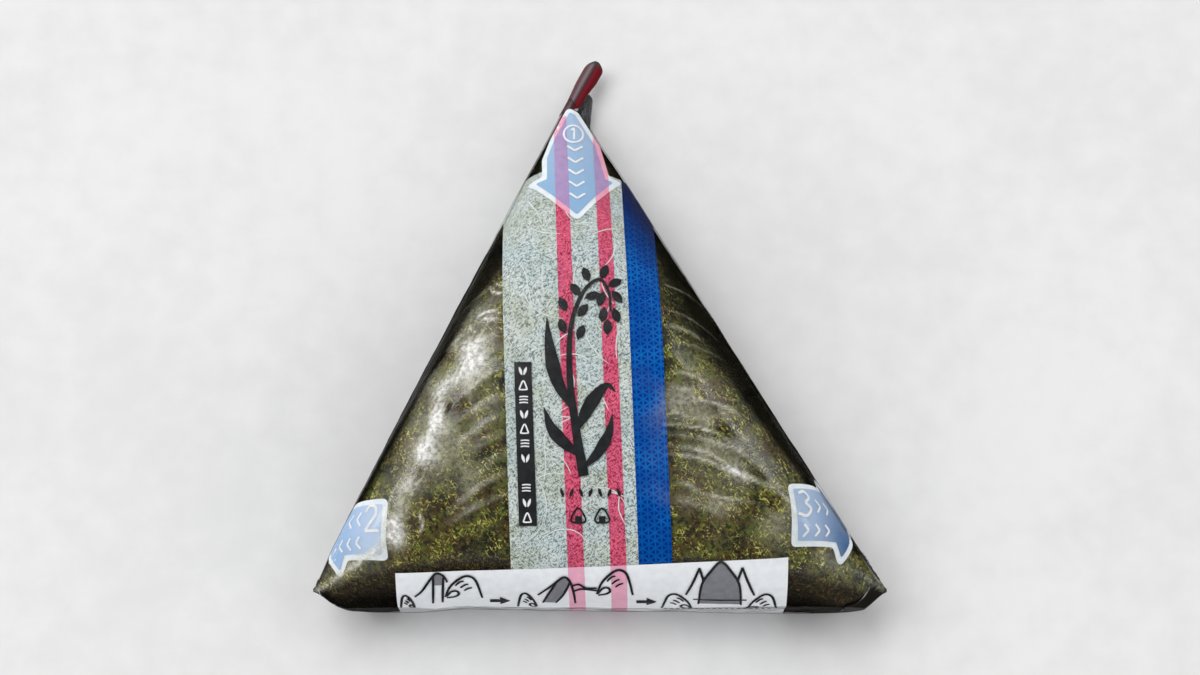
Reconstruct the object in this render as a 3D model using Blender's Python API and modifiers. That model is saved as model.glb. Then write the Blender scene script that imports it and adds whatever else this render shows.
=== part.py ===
"""A nori-wrapped rice ball in its clear film pack, lying on its back.

The pack is one solid: film drawn tight over a rounded triangle of rice, with a sharp
film ear at each base corner and a pinched apex. The tear tab and the tongue of back
film that stick out beyond the apex are thin curled strips, each a solid of its own.
"""
import math

import bmesh
import bpy
from mathutils import Vector

MM = 0.001

# The drawn film, in millimetres: X along the line of the ears, Y from the base to the apex,
# Z up from the surface that the pack lies on.
EAR_SPAN = 108.0
EAR_SET_BACK = 2.4
EAR_HEIGHT = 13.0
CHEEK_SPAN = 96.0
CHEEK_HEIGHTS = (7.0, 12.0)
APEX_LEFT = (-7.0, 100.0)
APEX_RIGHT = (-5.9, 102.0)
APEX_HEIGHTS = (4.4, 7.4)
BASE_SKEW = 0.5

# The rice: a triangle whose base corners lie just outside the ears before they are rounded.
RICE_APEX = (-7.9, 84.5)
LEFT_SHOULDER = 2.4
RIGHT_SHOULDER = 3.2
BASE_CORNER_RADIUS = 7.0
TOP_CORNER_RADIUS = 12.5
SHARPENING = 0.35
SMALLEST_RADIUS = 2.5
SIDE_BELLY = 0.2
BASE_BELLY = 0.5
BACK_FILLET = 7.0
FRONT_FILLET = 9.5

# The crowned front face: its highest point, and how fast it falls off along Y and X.
THICKNESS = 31.0
CROWN_CENTRE = 50.0
CROWN_MIDDLE = -3.0
CROWN_ALONG = 0.0037
CROWN_ACROSS = 0.0011
FRONT_INSET_STEPS = (13.0, 17.0, 21.0, 25.0)

# How finely the rounded forms are cut up.
FILLET_STEPS = 9
CORNER_STEPS = 12
SIDE_STEPS = 12
POINT_SPACING = 0.05
FLAT_ENOUGH = 0.9999
SHARP_ANGLE = math.radians(35.0)

# The tear tab: a half tube of film that leans to the right of the apex.
STRIP_THICKNESS = 0.45
TAB_ROOT = (-4.6, 102.3)
TAB_ROOT_SLANT = 1.3
TAB_LENGTH = 8.9
TAB_WIDTH = 3.8
TAB_ROOT_WIDTH = 3.0
TAB_WIDENING = 0.45
TAB_ROUNDING = 0.78
TAB_LEAN = math.radians(27.0)
TAB_CURL = math.radians(70.0)
TAB_ROOT_HEIGHT = 6.0
TAB_END_HEIGHT = 4.6

# The tongue of back film: nearly flat, slipping out under the apex beside the tab.
TONGUE_ROOT = (-4.9, 91.0)
TONGUE_LENGTH = 13.0
TONGUE_WIDTH = 4.6
TONGUE_END_WIDTH = 2.2
TONGUE_ROUNDING = 0.9
TONGUE_LEAN = math.radians(11.0)
TONGUE_CURL = math.radians(16.0)
TONGUE_ROOT_HEIGHT = 1.9
TONGUE_END_HEIGHT = 3.3

# Both strips: the narrowest their round ends get, as a share, and their grid.
END_WIDTH_SHARE = 0.3
STRIP_ROWS = 18
STRIP_COLUMNS = 12


def clear_scene():
    """Remove what a new file starts with."""
    for thing in list(bpy.data.objects):
        bpy.data.objects.remove(thing, do_unlink=True)


def material(name, colour, roughness):
    """A plain Principled finish in linear colour."""
    finish = bpy.data.materials.new(name)
    finish.use_nodes = True
    shader = finish.node_tree.nodes["Principled BSDF"]
    shader.inputs["Base Color"].default_value = (*colour, 1.0)
    shader.inputs["Roughness"].default_value = roughness
    shader.inputs["Metallic"].default_value = 0.0
    return finish


def add_object(name, mesh_builder, collection, finish):
    """Turn a bmesh in millimetres into a named object in metres."""
    bmesh.ops.scale(mesh_builder, vec=(MM, MM, MM), verts=mesh_builder.verts)
    mesh = bpy.data.meshes.new(name)
    mesh_builder.to_mesh(mesh)
    mesh_builder.free()
    mesh.materials.append(finish)
    mesh.shade_smooth()
    mesh.set_sharp_from_angle(angle=SHARP_ANGLE)
    thing = bpy.data.objects.new(name, mesh)
    collection.objects.link(thing)
    return thing


def rice_corners():
    """The corners of the triangle that rounds off to the rice: left base, right base, apex."""
    half = EAR_SPAN / 2
    left = Vector((-half - LEFT_SHOULDER, BASE_SKEW))
    right = Vector((half + RIGHT_SHOULDER, -BASE_SKEW))
    return [left, right, Vector(RICE_APEX)]


def offset_corner(before, corner, after, distance):
    """The point that lies the same distance inside both sides that meet at a corner."""
    to_before = (before - corner).normalized()
    to_after = (after - corner).normalized()
    half_angle = to_before.angle(to_after) / 2
    bisector = (to_before + to_after).normalized()
    return corner + bisector * (distance / math.sin(half_angle))


def rice_outline(inset):
    """The rounded triangle of rice in plan, drawn in by an inset from its widest outline."""
    corners = rice_corners()
    radii = (BASE_CORNER_RADIUS, BASE_CORNER_RADIUS, TOP_CORNER_RADIUS)
    bellies = (BASE_BELLY, SIDE_BELLY, SIDE_BELLY)
    arcs = []
    for index in range(3):
        corner = corners[index]
        before = corners[index - 1]
        after = corners[(index + 1) % 3]
        radius = max(radii[index] - SHARPENING * inset, SMALLEST_RADIUS)
        centre = offset_corner(before, corner, after, inset + radius)
        start = (corner - before).normalized()
        end = (after - corner).normalized()
        first = math.atan2(-start.x, start.y)
        sweep = start.angle(end)
        arc = []
        for step in range(CORNER_STEPS + 1):
            angle = first + sweep * step / CORNER_STEPS
            arc.append(centre + radius * Vector((math.cos(angle), math.sin(angle))))
        arcs.append(arc)
    outline = []
    for index in range(3):
        outline.extend(arcs[index])
        start = arcs[index][-1]
        end = arcs[(index + 1) % 3][0]
        outward = Vector(((end - start).y, -(end - start).x)).normalized()
        for step in range(1, SIDE_STEPS):
            share = step / SIDE_STEPS
            belly = bellies[index] * 4 * share * (1 - share)
            outline.append(start.lerp(end, share) + outward * belly)
    return outline


def crown(point):
    """Height of the front face over a plan point, before its rounded edge."""
    along = CROWN_ALONG * (point.y - CROWN_CENTRE) ** 2
    across = CROWN_ACROSS * (point.x - CROWN_MIDDLE) ** 2
    return THICKNESS - along - across


def pack_points():
    """Every point that the film is drawn over, from the flat back to the crowned front."""
    points = []
    for step in range(FILLET_STEPS + 1):
        angle = math.pi / 2 * step / FILLET_STEPS
        inset = BACK_FILLET * (1 - math.sin(angle))
        height = BACK_FILLET * (1 - math.cos(angle))
        points.extend((p.x, p.y, height) for p in rice_outline(inset))
    insets = []
    for step in range(FILLET_STEPS + 1):
        angle = math.pi / 2 * step / FILLET_STEPS
        insets.append((FRONT_FILLET * (1 - math.cos(angle)), FRONT_FILLET * (1 - math.sin(angle))))
    insets.extend((inset, 0.0) for inset in FRONT_INSET_STEPS)
    for inset, drop in insets:
        points.extend((p.x, p.y, crown(p) - drop) for p in rice_outline(inset))
    for side in (-1, 1):
        points.append((side * EAR_SPAN / 2, EAR_SET_BACK, EAR_HEIGHT))
        for height in CHEEK_HEIGHTS:
            points.append((side * CHEEK_SPAN / 2, -side * BASE_SKEW, height))
    for apex in (APEX_LEFT, APEX_RIGHT):
        for height in APEX_HEIGHTS:
            points.append((*apex, height))
    return points


def build_pack(collection):
    """The drawn film is the convex hull of the rice, the ears and the apex."""
    shape = bmesh.new()
    for point in pack_points():
        shape.verts.new(point)
    bmesh.ops.remove_doubles(shape, verts=shape.verts, dist=POINT_SPACING)
    hull = bmesh.ops.convex_hull(shape, input=shape.verts)
    inner = [v for v in hull["geom_interior"] if isinstance(v, bmesh.types.BMVert)]
    bmesh.ops.delete(shape, geom=inner, context="VERTS")
    loose = [v for v in shape.verts if not v.link_faces]
    bmesh.ops.delete(shape, geom=loose, context="VERTS")
    bmesh.ops.recalc_face_normals(shape, faces=shape.faces)
    resting = [f for f in shape.faces if f.normal.z < -FLAT_ENOUGH]
    bmesh.ops.dissolve_faces(shape, faces=resting)
    finish = material("nori_under_film", (0.10, 0.10, 0.05), 0.25)
    return add_object("film_pack", shape, collection, finish)


def strip_surface(place):
    """An open strip of film: place gives a point for shares along and across it."""
    shape = bmesh.new()
    grid = []
    for row in range(STRIP_ROWS + 1):
        along = row / STRIP_ROWS
        columns = [2 * column / STRIP_COLUMNS - 1 for column in range(STRIP_COLUMNS + 1)]
        grid.append([shape.verts.new(place(along, across)) for across in columns])
    for row in range(STRIP_ROWS):
        for column in range(STRIP_COLUMNS):
            near, far = grid[row], grid[row + 1]
            shape.faces.new((near[column], near[column + 1], far[column + 1], far[column]))
    return shape


def thicken(thing):
    """Give an open strip its thickness, half to each side."""
    solid = thing.modifiers.new("film thickness", "SOLIDIFY")
    solid.thickness = STRIP_THICKNESS * MM
    solid.offset = 0.0
    solid.use_even_offset = True
    return thing


def curled_point(root, lean, reach, half_width, across, curl, height):
    """A point on a strip that leans in plan and curls down at both long edges."""
    radius = half_width / math.sin(curl)
    angle = across * curl
    sideways = radius * math.sin(angle)
    sag = radius * (1 - math.cos(angle))
    x = root[0] + reach * math.sin(lean) + sideways * math.cos(lean)
    y = root[1] + reach * math.cos(lean) - sideways * math.sin(lean)
    return (x, y, height - sag)


def round_end_width(share, start):
    """Width factor that closes a strip's far end in a half round."""
    beyond = max(share - start, 0.0) / (1 - start)
    return max(math.sqrt(1 - beyond * beyond), END_WIDTH_SHARE)


def tab_point(along, across):
    """The tear tab: narrow where it leaves the apex, half-tube curled, round at its end."""
    growth = min(1.0, along / TAB_WIDENING)
    width = TAB_ROOT_WIDTH + (TAB_WIDTH - TAB_ROOT_WIDTH) * growth
    half = width / 2 * round_end_width(along, TAB_ROUNDING)
    height = TAB_ROOT_HEIGHT + (TAB_END_HEIGHT - TAB_ROOT_HEIGHT) * along
    reach = along * TAB_LENGTH + (1 - along) * across * TAB_ROOT_SLANT
    return curled_point(TAB_ROOT, TAB_LEAN, reach, half, across, TAB_CURL, height)


def tongue_point(along, across):
    """The tongue of back film: a flat tapering strip that slips out under the apex."""
    width = TONGUE_WIDTH + (TONGUE_END_WIDTH - TONGUE_WIDTH) * along
    half = width / 2 * round_end_width(along, TONGUE_ROUNDING)
    height = TONGUE_ROOT_HEIGHT + (TONGUE_END_HEIGHT - TONGUE_ROOT_HEIGHT) * along
    reach = along * TONGUE_LENGTH
    return curled_point(TONGUE_ROOT, TONGUE_LEAN, reach, half, across, TONGUE_CURL, height)


def build_strips(collection):
    """The tear tab and the tongue of back film."""
    red = material("tear_tab_red", (0.18, 0.02, 0.04), 0.3)
    grey = material("clear_film_grey", (0.30, 0.30, 0.30), 0.2)
    tab = add_object("tear_tab", strip_surface(tab_point), collection, red)
    tongue = add_object("film_tongue", strip_surface(tongue_point), collection, grey)
    return [thicken(tab), thicken(tongue)]


def centre_on_base(things):
    """Put the origin in the middle of the whole box, on the surface that the pack lies on."""
    graph = bpy.context.evaluated_depsgraph_get()
    corners = []
    for thing in things:
        seen = thing.evaluated_get(graph)
        mesh = seen.to_mesh()
        corners.extend(vertex.co.copy() for vertex in mesh.vertices)
        seen.to_mesh_clear()
    low = Vector([min(c[axis] for c in corners) for axis in range(3)])
    high = Vector([max(c[axis] for c in corners) for axis in range(3)])
    shift = Vector(((low.x + high.x) / 2, (low.y + high.y) / 2, low.z))
    for thing in things:
        for vertex in thing.data.vertices:
            vertex.co -= shift


def main():
    clear_scene()
    collection = bpy.data.collections.new("onigiri")
    bpy.context.scene.collection.children.link(collection)
    things = [build_pack(collection)] + build_strips(collection)
    centre_on_base(things)


main()
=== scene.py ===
# %% [markdown]
# # Dressing a wrapped rice ball for its picture
#
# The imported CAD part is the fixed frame: a tight film pack with two film ears, a curled tear
# tab and a tongue of back film. This lesson replaces each of those plain solids with what is
# really there: clear creased film, a sheet of nori under it, and the print on the film.
# Lengths are in millimetres while we work, and each mesh is turned to metres when it is made.

# %% Load the frame
import math

import bmesh
import bpy
import numpy as np
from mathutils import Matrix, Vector, noise
from mathutils.bvhtree import BVHTree


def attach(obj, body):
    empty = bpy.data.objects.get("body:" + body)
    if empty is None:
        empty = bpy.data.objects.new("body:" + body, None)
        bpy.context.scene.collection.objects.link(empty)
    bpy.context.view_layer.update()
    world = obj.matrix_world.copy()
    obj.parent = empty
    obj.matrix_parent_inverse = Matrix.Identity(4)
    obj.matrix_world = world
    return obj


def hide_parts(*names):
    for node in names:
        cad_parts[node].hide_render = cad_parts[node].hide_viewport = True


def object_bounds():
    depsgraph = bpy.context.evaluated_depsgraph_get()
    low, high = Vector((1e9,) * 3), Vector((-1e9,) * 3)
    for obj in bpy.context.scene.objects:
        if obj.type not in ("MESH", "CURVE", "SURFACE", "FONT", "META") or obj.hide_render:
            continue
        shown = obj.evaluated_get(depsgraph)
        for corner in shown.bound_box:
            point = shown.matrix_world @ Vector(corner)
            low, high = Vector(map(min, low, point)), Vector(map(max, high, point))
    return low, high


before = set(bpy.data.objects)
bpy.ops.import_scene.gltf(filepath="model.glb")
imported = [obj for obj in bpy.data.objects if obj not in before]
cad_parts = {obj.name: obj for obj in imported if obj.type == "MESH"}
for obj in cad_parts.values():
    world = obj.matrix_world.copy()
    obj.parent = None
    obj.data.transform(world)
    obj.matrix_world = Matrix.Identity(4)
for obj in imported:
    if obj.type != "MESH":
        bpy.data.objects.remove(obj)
cad_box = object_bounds()
MM = 0.001
print("CAD box in mm:", [round(float(value) / MM, 2) for corner in cad_box for value in corner])

# %% [markdown]
# ## Camera
#
# The pack was photographed from almost straight above, leaning a little towards its base, so
# that a sliver of the base's wall shows. A long lens keeps the triangle free of perspective.

# %% Camera
LOOK_DOWN = math.radians(77.0)
CAMERA_AIM = Vector((0.0, -3.263, 12.0))
CAMERA_REACH = 520.0
LENS = 80.9
SENSOR = 36.0

camera_data = bpy.data.cameras.new("camera")
camera_data.lens = LENS
camera_data.sensor_width = SENSOR
camera_data.clip_start = 0.01
camera = bpy.data.objects.new("camera", camera_data)
bpy.context.scene.collection.objects.link(camera)
towards_camera = Vector((0.0, -math.cos(LOOK_DOWN), math.sin(LOOK_DOWN)))
camera.location = (CAMERA_AIM + towards_camera * CAMERA_REACH) * MM
camera.rotation_euler = (math.pi / 2 - LOOK_DOWN, 0.0, 0.0)
bpy.context.scene.camera = camera
print("camera height in mm:", round(camera.location.z / MM, 1))

# %% [markdown]
# ## Soft studio light
#
# Clear film shows the lamps more than itself, so the lamps are placed by what they mirror in.
# A large box at the back lights the floor and throws the shadow forwards. A dimmer box on each
# side catches the creases and the milky streak on the left shoulder. Plain sRGB display keeps
# the print's colours as they are mixed.

# %% Lamps
# Each lamp's name, azimuth, elevation, reach, width, height and radiance.
SOFTBOXES = [("key_box", 132.0, 64.0, 2.4, 2.2, 1.5, 3.35),
             ("right_box", 22.0, 50.0, 2.4, 1.3, 0.7, 2.4),
             ("left_box", 172.0, 48.0, 2.4, 1.0, 0.7, 3.2)]


def softbox(name, azimuth, elevation, reach, width, height, radiance):
    """A lamp panel that faces the pack; azimuth turns from +X, radiance is what it mirrors."""
    data = bpy.data.lights.new(name, "AREA")
    data.shape = "RECTANGLE"
    data.size = width
    data.size_y = height
    data.energy = radiance * math.pi * width * height
    lamp = bpy.data.objects.new(name, data)
    bpy.context.scene.collection.objects.link(lamp)
    turn, rise = math.radians(azimuth), math.radians(elevation)
    away = Vector((math.cos(turn) * math.cos(rise), math.sin(turn) * math.cos(rise),
                   math.sin(rise)))
    lamp.location = away * reach
    lamp.rotation_euler = away.to_track_quat("Z", "Y").to_euler()
    lamp.visible_camera = False


for facts in SOFTBOXES:
    softbox(*facts)

world = bpy.data.worlds.new("room")
world.use_nodes = True
world.node_tree.nodes["Background"].inputs["Color"].default_value = (1.0, 1.0, 1.0, 1.0)
bpy.context.scene.world = world
bpy.context.scene.view_settings.view_transform = "Standard"
bpy.context.scene.view_settings.look = "None"
print("lamps:", len(bpy.data.lights))

# %% [markdown]
# ## Writing a finish as sums
#
# A material is a graph of nodes. To read it as plain arithmetic, one small class wraps a
# socket: adding or multiplying two of them adds the Math node that does it. Every other node
# comes from its `node` method, and the last few methods name the nodes that this pack needs
# again and again.

# %% The Flow class


def math_node(operation, swapped=False):
    """A method that adds one Math node; swapped puts the other value first."""
    def method(self, other=0.0):
        first, second = (other, self) if swapped else (self, other)
        return self.node("ShaderNodeMath", {"operation": operation}, {0: first, 1: second})
    return method


class Flow:
    """A value that runs through a material's nodes."""

    def __init__(self, tree, link=None):
        self.tree = tree
        self.link = link

    def node(self, kind, settings=None, values=None, out=0):
        """Add a node: its settings first, then the values or links of its sockets."""
        made = self.tree.nodes.new(kind)
        for key, value in (settings or {}).items():
            if key == "stops":
                while len(made.color_ramp.elements) < len(value):
                    made.color_ramp.elements.new(1.0)
                for element, (place, colour) in zip(made.color_ramp.elements, value):
                    element.position = place
                    element.color = colour
            else:
                setattr(made, key, value)
        for key, value in (values or {}).items():
            if isinstance(value, Flow):
                self.tree.links.new(value.link, made.inputs[key])
            else:
                made.inputs[key].default_value = value
        return Flow(self.tree, made.outputs[out])

    __add__, __radd__ = math_node("ADD"), math_node("ADD", swapped=True)
    __sub__, __rsub__ = math_node("SUBTRACT"), math_node("SUBTRACT", swapped=True)
    __mul__, __rmul__ = math_node("MULTIPLY"), math_node("MULTIPLY", swapped=True)
    __abs__, fraction = math_node("ABSOLUTE"), math_node("FRACT")
    least, most = math_node("MINIMUM"), math_node("MAXIMUM")

    def rise(self, low, high):
        """0 below low, 1 above high, smooth in between."""
        values = {"Value": self, "From Min": low, "From Max": high}
        return self.node("ShaderNodeMapRange", {"interpolation_type": "SMOOTHSTEP"}, values)

    def blend(self, first, second):
        """The first colour where this value is 0, the second where it is 1."""
        return self.node("ShaderNodeMix", {"data_type": "RGBA"}, {0: self, 6: first, 7: second}, 2)

    def layer(self, first, second):
        """The first shader where this value is 0, the second where it is 1."""
        return self.node("ShaderNodeMixShader", values={0: self, 1: first, 2: second})

    def surface(self, colour, roughness, specular=0.5, relief=None):
        """A solid surface: its colour, roughness, strength of mirroring and relief."""
        values = {"Base Color": colour, "Roughness": roughness, "Specular IOR Level": specular}
        if relief is not None:
            values["Normal"] = relief
        return self.node("ShaderNodeBsdfPrincipled", values=values)

    def kept(self, name):
        """A number that the mesh keeps for each vertex."""
        return self.node("ShaderNodeAttribute", {"attribute_name": name}, out=2)

    def parts(self):
        """Its x, y and z, each as a value."""
        split = self.node("ShaderNodeSeparateXYZ", values={0: self})
        return [Flow(self.tree, socket) for socket in split.link.node.outputs]

    def grain(self, size, detail=3.0, stretch=(1.0, 1.0, 1.0), turn=0.0, kind="FBM", rough=0.5):
        """Noise read at this position: features about size millimetres across."""
        turned = self.node("ShaderNodeVectorRotate", {"rotation_type": "Z_AXIS"},
                           {"Vector": self, "Angle": turn})
        pulled = self.node("ShaderNodeVectorMath", {"operation": "MULTIPLY"},
                           {0: turned, 1: tuple(1.0 / (size * s) for s in stretch)})
        values = {"Vector": pulled, "Scale": 1.0, "Detail": detail, "Roughness": rough}
        return self.node("ShaderNodeTexNoise", {"noise_type": kind, "normalize": True}, values)


def ink(red, green, blue):
    """A colour as a screen shows it, 0 to 255, turned to the linear light that nodes take."""
    shares = [value / 255 for value in (red, green, blue)]
    linear = [s / 12.92 if s <= 0.04045 else ((s + 0.055) / 1.055) ** 2.4 for s in shares]
    return (*linear, 1.0)


def start_material(name):
    """An empty material, its tree as a Flow, and its position in millimetres."""
    finish = bpy.data.materials.new(name)
    finish.use_nodes = True
    finish.node_tree.nodes.clear()
    tree = Flow(finish.node_tree)
    place = tree.node("ShaderNodeTexCoord", out=3)
    at = tree.node("ShaderNodeVectorMath", {"operation": "SCALE"}, {0: place, "Scale": 1 / MM})
    return finish, tree, at


def end_material(finish, shader):
    """Send a shader to the material's output."""
    output = shader.tree.nodes.new("ShaderNodeOutputMaterial")
    shader.tree.links.new(shader.link, output.inputs["Surface"])
    return finish


print("example colour:", [round(value, 3) for value in ink(205, 96, 123)])

# %% [markdown]
# ## The room's light
#
# The room is pale low down, which fills the shadows, and dim overhead, which keeps the print
# free of glare. A world's shader reads the direction that it is seen in, so one smooth step in
# the height of that direction makes the change.

# %% Room light
CEILING_LIGHT = 0.05
RIM_LIGHT = 0.96
RIM_TOP = 0.50
DIM_FROM = 0.85

room = Flow(world.node_tree)
height = room.node("ShaderNodeTexCoord", out=0).parts()[2]
glow = (1 - height.rise(RIM_TOP, DIM_FROM)) * (RIM_LIGHT - CEILING_LIGHT) + CEILING_LIGHT
world.node_tree.links.new(glow.link, world.node_tree.nodes["Background"].inputs["Strength"])
print("room light from", CEILING_LIGHT, "to", RIM_LIGHT)

# %% [markdown]
# ## The floor
#
# A pale, faintly mottled board that curves up far away, so that no horizon shows in side views.

# %% Floor
FLOOR_RIM = [(0.3, 0.0), (0.8, 0.0), (1.2, 0.0), (1.45, 0.02), (1.62, 0.07), (1.74, 0.16),
             (1.8, 0.28), (1.82, 0.42)]
FLOOR_SIDES = 96
FLOOR_GAP = 0.00005

finish, tree, at = start_material("floor_board")
mottle = at.grain(60.0, 4.0) * 0.6 + at.grain(6.0, 3.0) * 0.4
shade = mottle.rise(0.35, 0.65).blend(ink(222, 222, 222), ink(230, 230, 230))
floor_finish = end_material(finish, tree.surface(shade, 0.8, 0.1))

board = bmesh.new()
rings = []
for radius, height in FLOOR_RIM:
    ring = []
    for side in range(FLOOR_SIDES):
        angle = 2 * math.pi * side / FLOOR_SIDES
        ring.append(board.verts.new((radius * math.cos(angle), radius * math.sin(angle), height)))
    rings.append(ring)
board.faces.new(rings[0])
for inner, outer in zip(rings, rings[1:]):
    for side in range(FLOOR_SIDES):
        after = (side + 1) % FLOOR_SIDES
        board.faces.new((inner[side], outer[side], outer[after], inner[after]))
floor_mesh = bpy.data.meshes.new("floor")
board.to_mesh(floor_mesh)
board.free()
floor_mesh.materials.append(floor_finish)
floor_mesh.shade_smooth()
floor = bpy.data.objects.new("floor", floor_mesh)
floor.location.z = -FLOOR_GAP
bpy.context.scene.collection.objects.link(floor)
print("floor faces:", len(floor_mesh.polygons))

# %% [markdown]
# ## The film's skin
#
# The film is drawn so tight that it takes the CAD solid's form, but it needs an even, fine
# mesh to carry creases. A voxel remesh gives that mesh; each vertex is then put back on the
# CAD surface, the facets are smoothed out, and the ears and the apex keep their sharp points.

# %% Even quads from the solid
VOXEL = 0.5


def remeshed(points, faces, voxel):
    """The same closed form in even quads."""
    mesh = bpy.data.meshes.new("rough")
    mesh.from_pydata(points.tolist(), [], faces)
    welded = bmesh.new()
    welded.from_mesh(mesh)
    bmesh.ops.remove_doubles(welded, verts=welded.verts, dist=0.001)
    welded.to_mesh(mesh)
    welded.free()
    rough = bpy.data.objects.new("rough", mesh)
    bpy.context.scene.collection.objects.link(rough)
    change = rough.modifiers.new("voxels", "REMESH")
    change.mode = "VOXEL"
    change.voxel_size = voxel
    even = rough.evaluated_get(bpy.context.evaluated_depsgraph_get()).data
    new_points = np.array([vertex.co for vertex in even.vertices], float)
    new_faces = np.array([list(face.vertices) for face in even.polygons])
    bpy.data.objects.remove(rough)
    return new_points, new_faces


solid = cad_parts["film_pack"].data
cad_points = np.array([vertex.co for vertex in solid.vertices], float) / MM
cad_faces = [list(face.vertices) for face in solid.polygons]
skin, quads = remeshed(cad_points, cad_faces, VOXEL)
print("even quads:", len(quads))

# %% Normals, smoothing and soft steps


def surface_normals(points, quads):
    """Smooth outward directions at the vertices of a mesh of quads."""
    one, two, three, four = (points[quads[:, corner]] for corner in range(4))
    across = np.cross(three - one, four - two)
    total = np.zeros_like(points)
    for corner in range(4):
        for axis in range(3):
            total[:, axis] += np.bincount(quads[:, corner], across[:, axis], len(points))
    return total / np.maximum(np.linalg.norm(total, axis=1), 1e-9)[:, None]


def smoothed(points, quads, rounds, free):
    """Move each vertex halfway to its neighbours' middle, as far as free allows."""
    starts = quads.ravel()
    ends = np.roll(quads, -1, axis=1).ravel()
    count = np.bincount(starts, minlength=len(points)) + np.bincount(ends, minlength=len(points))
    for _ in range(rounds):
        middle = np.zeros_like(points)
        for axis in range(3):
            middle[:, axis] = np.bincount(starts, points[ends, axis], len(points))
            middle[:, axis] += np.bincount(ends, points[starts, axis], len(points))
        middle /= count[:, None]
        points = points + 0.5 * free[:, None] * (middle - points)
    return points


def ramp(values, low, high):
    """0 below low, 1 above high, smooth in between, for arrays."""
    share = np.clip((values - low) / (high - low), 0.0, 1.0)
    return share * share * (3 - 2 * share)


print("soft step at a quarter, half and three quarters:",
      ramp(np.array([0.25, 0.5, 0.75]), 0.0, 1.0).round(3))

# %% The skin itself
EAR_TIPS = ((-54.0, -52.66, 13.0), (54.0, -52.66, 13.0))
APEX_POINT = (-6.4, 46.2, 6.0)
SMOOTHING_ROUNDS = 9
SHARP_REACH = 9.0
BASE_FULLNESS = 1.1

cad_tree = BVHTree.FromPolygons(cad_points.tolist(), cad_faces)
skin = np.array([cad_tree.find_nearest(Vector(point))[0] for point in skin.tolist()])
sharp_points = np.array([*EAR_TIPS, APEX_POINT])
to_sharp = np.linalg.norm(skin[:, None, :] - sharp_points[None], axis=2).min(axis=1)
skin = smoothed(skin, quads, SMOOTHING_ROUNDS, ramp(to_sharp, 2.0, SHARP_REACH))
for tip in EAR_TIPS:
    nearest = np.linalg.norm(skin - np.array(tip), axis=1).argmin()
    skin[nearest] = tip
skin_normals = surface_normals(skin, quads)
facing_base = ramp(-skin_normals[:, 1], 0.15, 0.6)
sideways = np.abs(skin[:, 0])
fullness = np.where(skin[:, 0] < 0, ramp(sideways, 24.0, 38.0), ramp(sideways, 12.0, 40.0))
fullness *= 1 - ramp(sideways, 49.5, 53.8)
skin[:, 1] -= BASE_FULLNESS * fullness * facing_base
skin[:, 1] = np.maximum(skin[:, 1], cad_box[0][1] / MM)
skin_normals = surface_normals(skin, quads)
print("skin vertices:", len(skin), "box:", skin.min(axis=0).round(2), skin.max(axis=0).round(2))

# %% [markdown]
# ## Creases in the film
#
# Shrunk film keeps fine creases where it is pulled: fans that droop from both edges of the
# stiff printed band, folds that run into the ears, and pleats below the pinched apex. Each
# crease is a line on the skin, raised along its length and fading at both ends. Its crest also
# turns a little milky, partly from the film's own whitening and partly as painted sheen where
# it would catch a lamp; both are kept as one number called haze.

# %% Points and curves on the skin
CREASE_SEED = 7
rng = np.random.default_rng(CREASE_SEED)
skin_tree = BVHTree.FromPolygons(skin.tolist(), quads.tolist())
lift = np.zeros(len(skin))
# Milkiness per skin vertex: partly the film's whitening, partly painted sheen and highlights.
haze = np.zeros(len(skin))


def on_skin(x, y):
    """The point of the front face above a plan point."""
    hit = skin_tree.ray_cast(Vector((x, y, 60.0)), Vector((0.0, 0.0, -1.0)))[0]
    if hit is None:
        hit = skin_tree.find_nearest(Vector((x, y, 14.0)))[0]
    return np.array(hit)


def curve_through(points, spacing):
    """A smooth run of points through a few given ones (plan or space), evenly spaced."""
    given = [np.array(point, float) for point in points]
    given = [2 * given[0] - given[1], *given, 2 * given[-1] - given[-2]]
    run = []
    for index in range(1, len(given) - 2):
        before, start, end, after = given[index - 1:index + 3]
        steps = max(2, int(math.ceil(np.linalg.norm(end - start) / spacing)))
        for step in range(steps):
            t = step / steps
            run.append(0.5 * (2 * start + (end - before) * t
                              + (2 * before - 5 * start + 4 * end - after) * t * t
                              + (3 * start - before - 3 * end + after) * t ** 3))
    run.append(given[-2])
    return np.array(run)


print("crest of the pack in mm:", round(float(on_skin(0.0, -10.0)[2]), 2))

# %% One crease


def crease(line, height, width, milk_and_sheen=0.0, one_sided=0.0):
    """Raise the skin along a line of space points and note its milkiness, partly painted sheen."""
    low = line.min(axis=0) - 4 * width
    high = line.max(axis=0) + 4 * width
    near = np.nonzero(((skin > low) & (skin < high)).all(axis=1))[0]
    if not len(near):
        return
    best = np.full(len(near), 1e9)
    along = np.zeros(len(near))
    side = np.zeros(len(near))
    for index in range(len(line) - 1):
        start = line[index]
        run = line[index + 1] - start
        offset = skin[near] - start
        share = np.clip(offset @ run / (run @ run), 0.0, 1.0)
        away = offset - share[:, None] * run
        distance = np.linalg.norm(away, axis=1)
        closer = distance < best
        best[closer] = distance[closer]
        along[closer] = (index + share[closer]) / (len(line) - 1)
        side[closer] = np.sign(np.cross(run[:2], away[closer][:, :2]))
    fade = np.sin(np.pi * np.clip(along, 0.0, 1.0)) ** 0.6
    reach = width * (1 + one_sided * side)
    shape = np.exp(-(best / np.maximum(reach, 0.2)) ** 2)
    lift[near] += height * fade * shape
    haze[near] = np.maximum(haze[near], milk_and_sheen * fade * shape)


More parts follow.
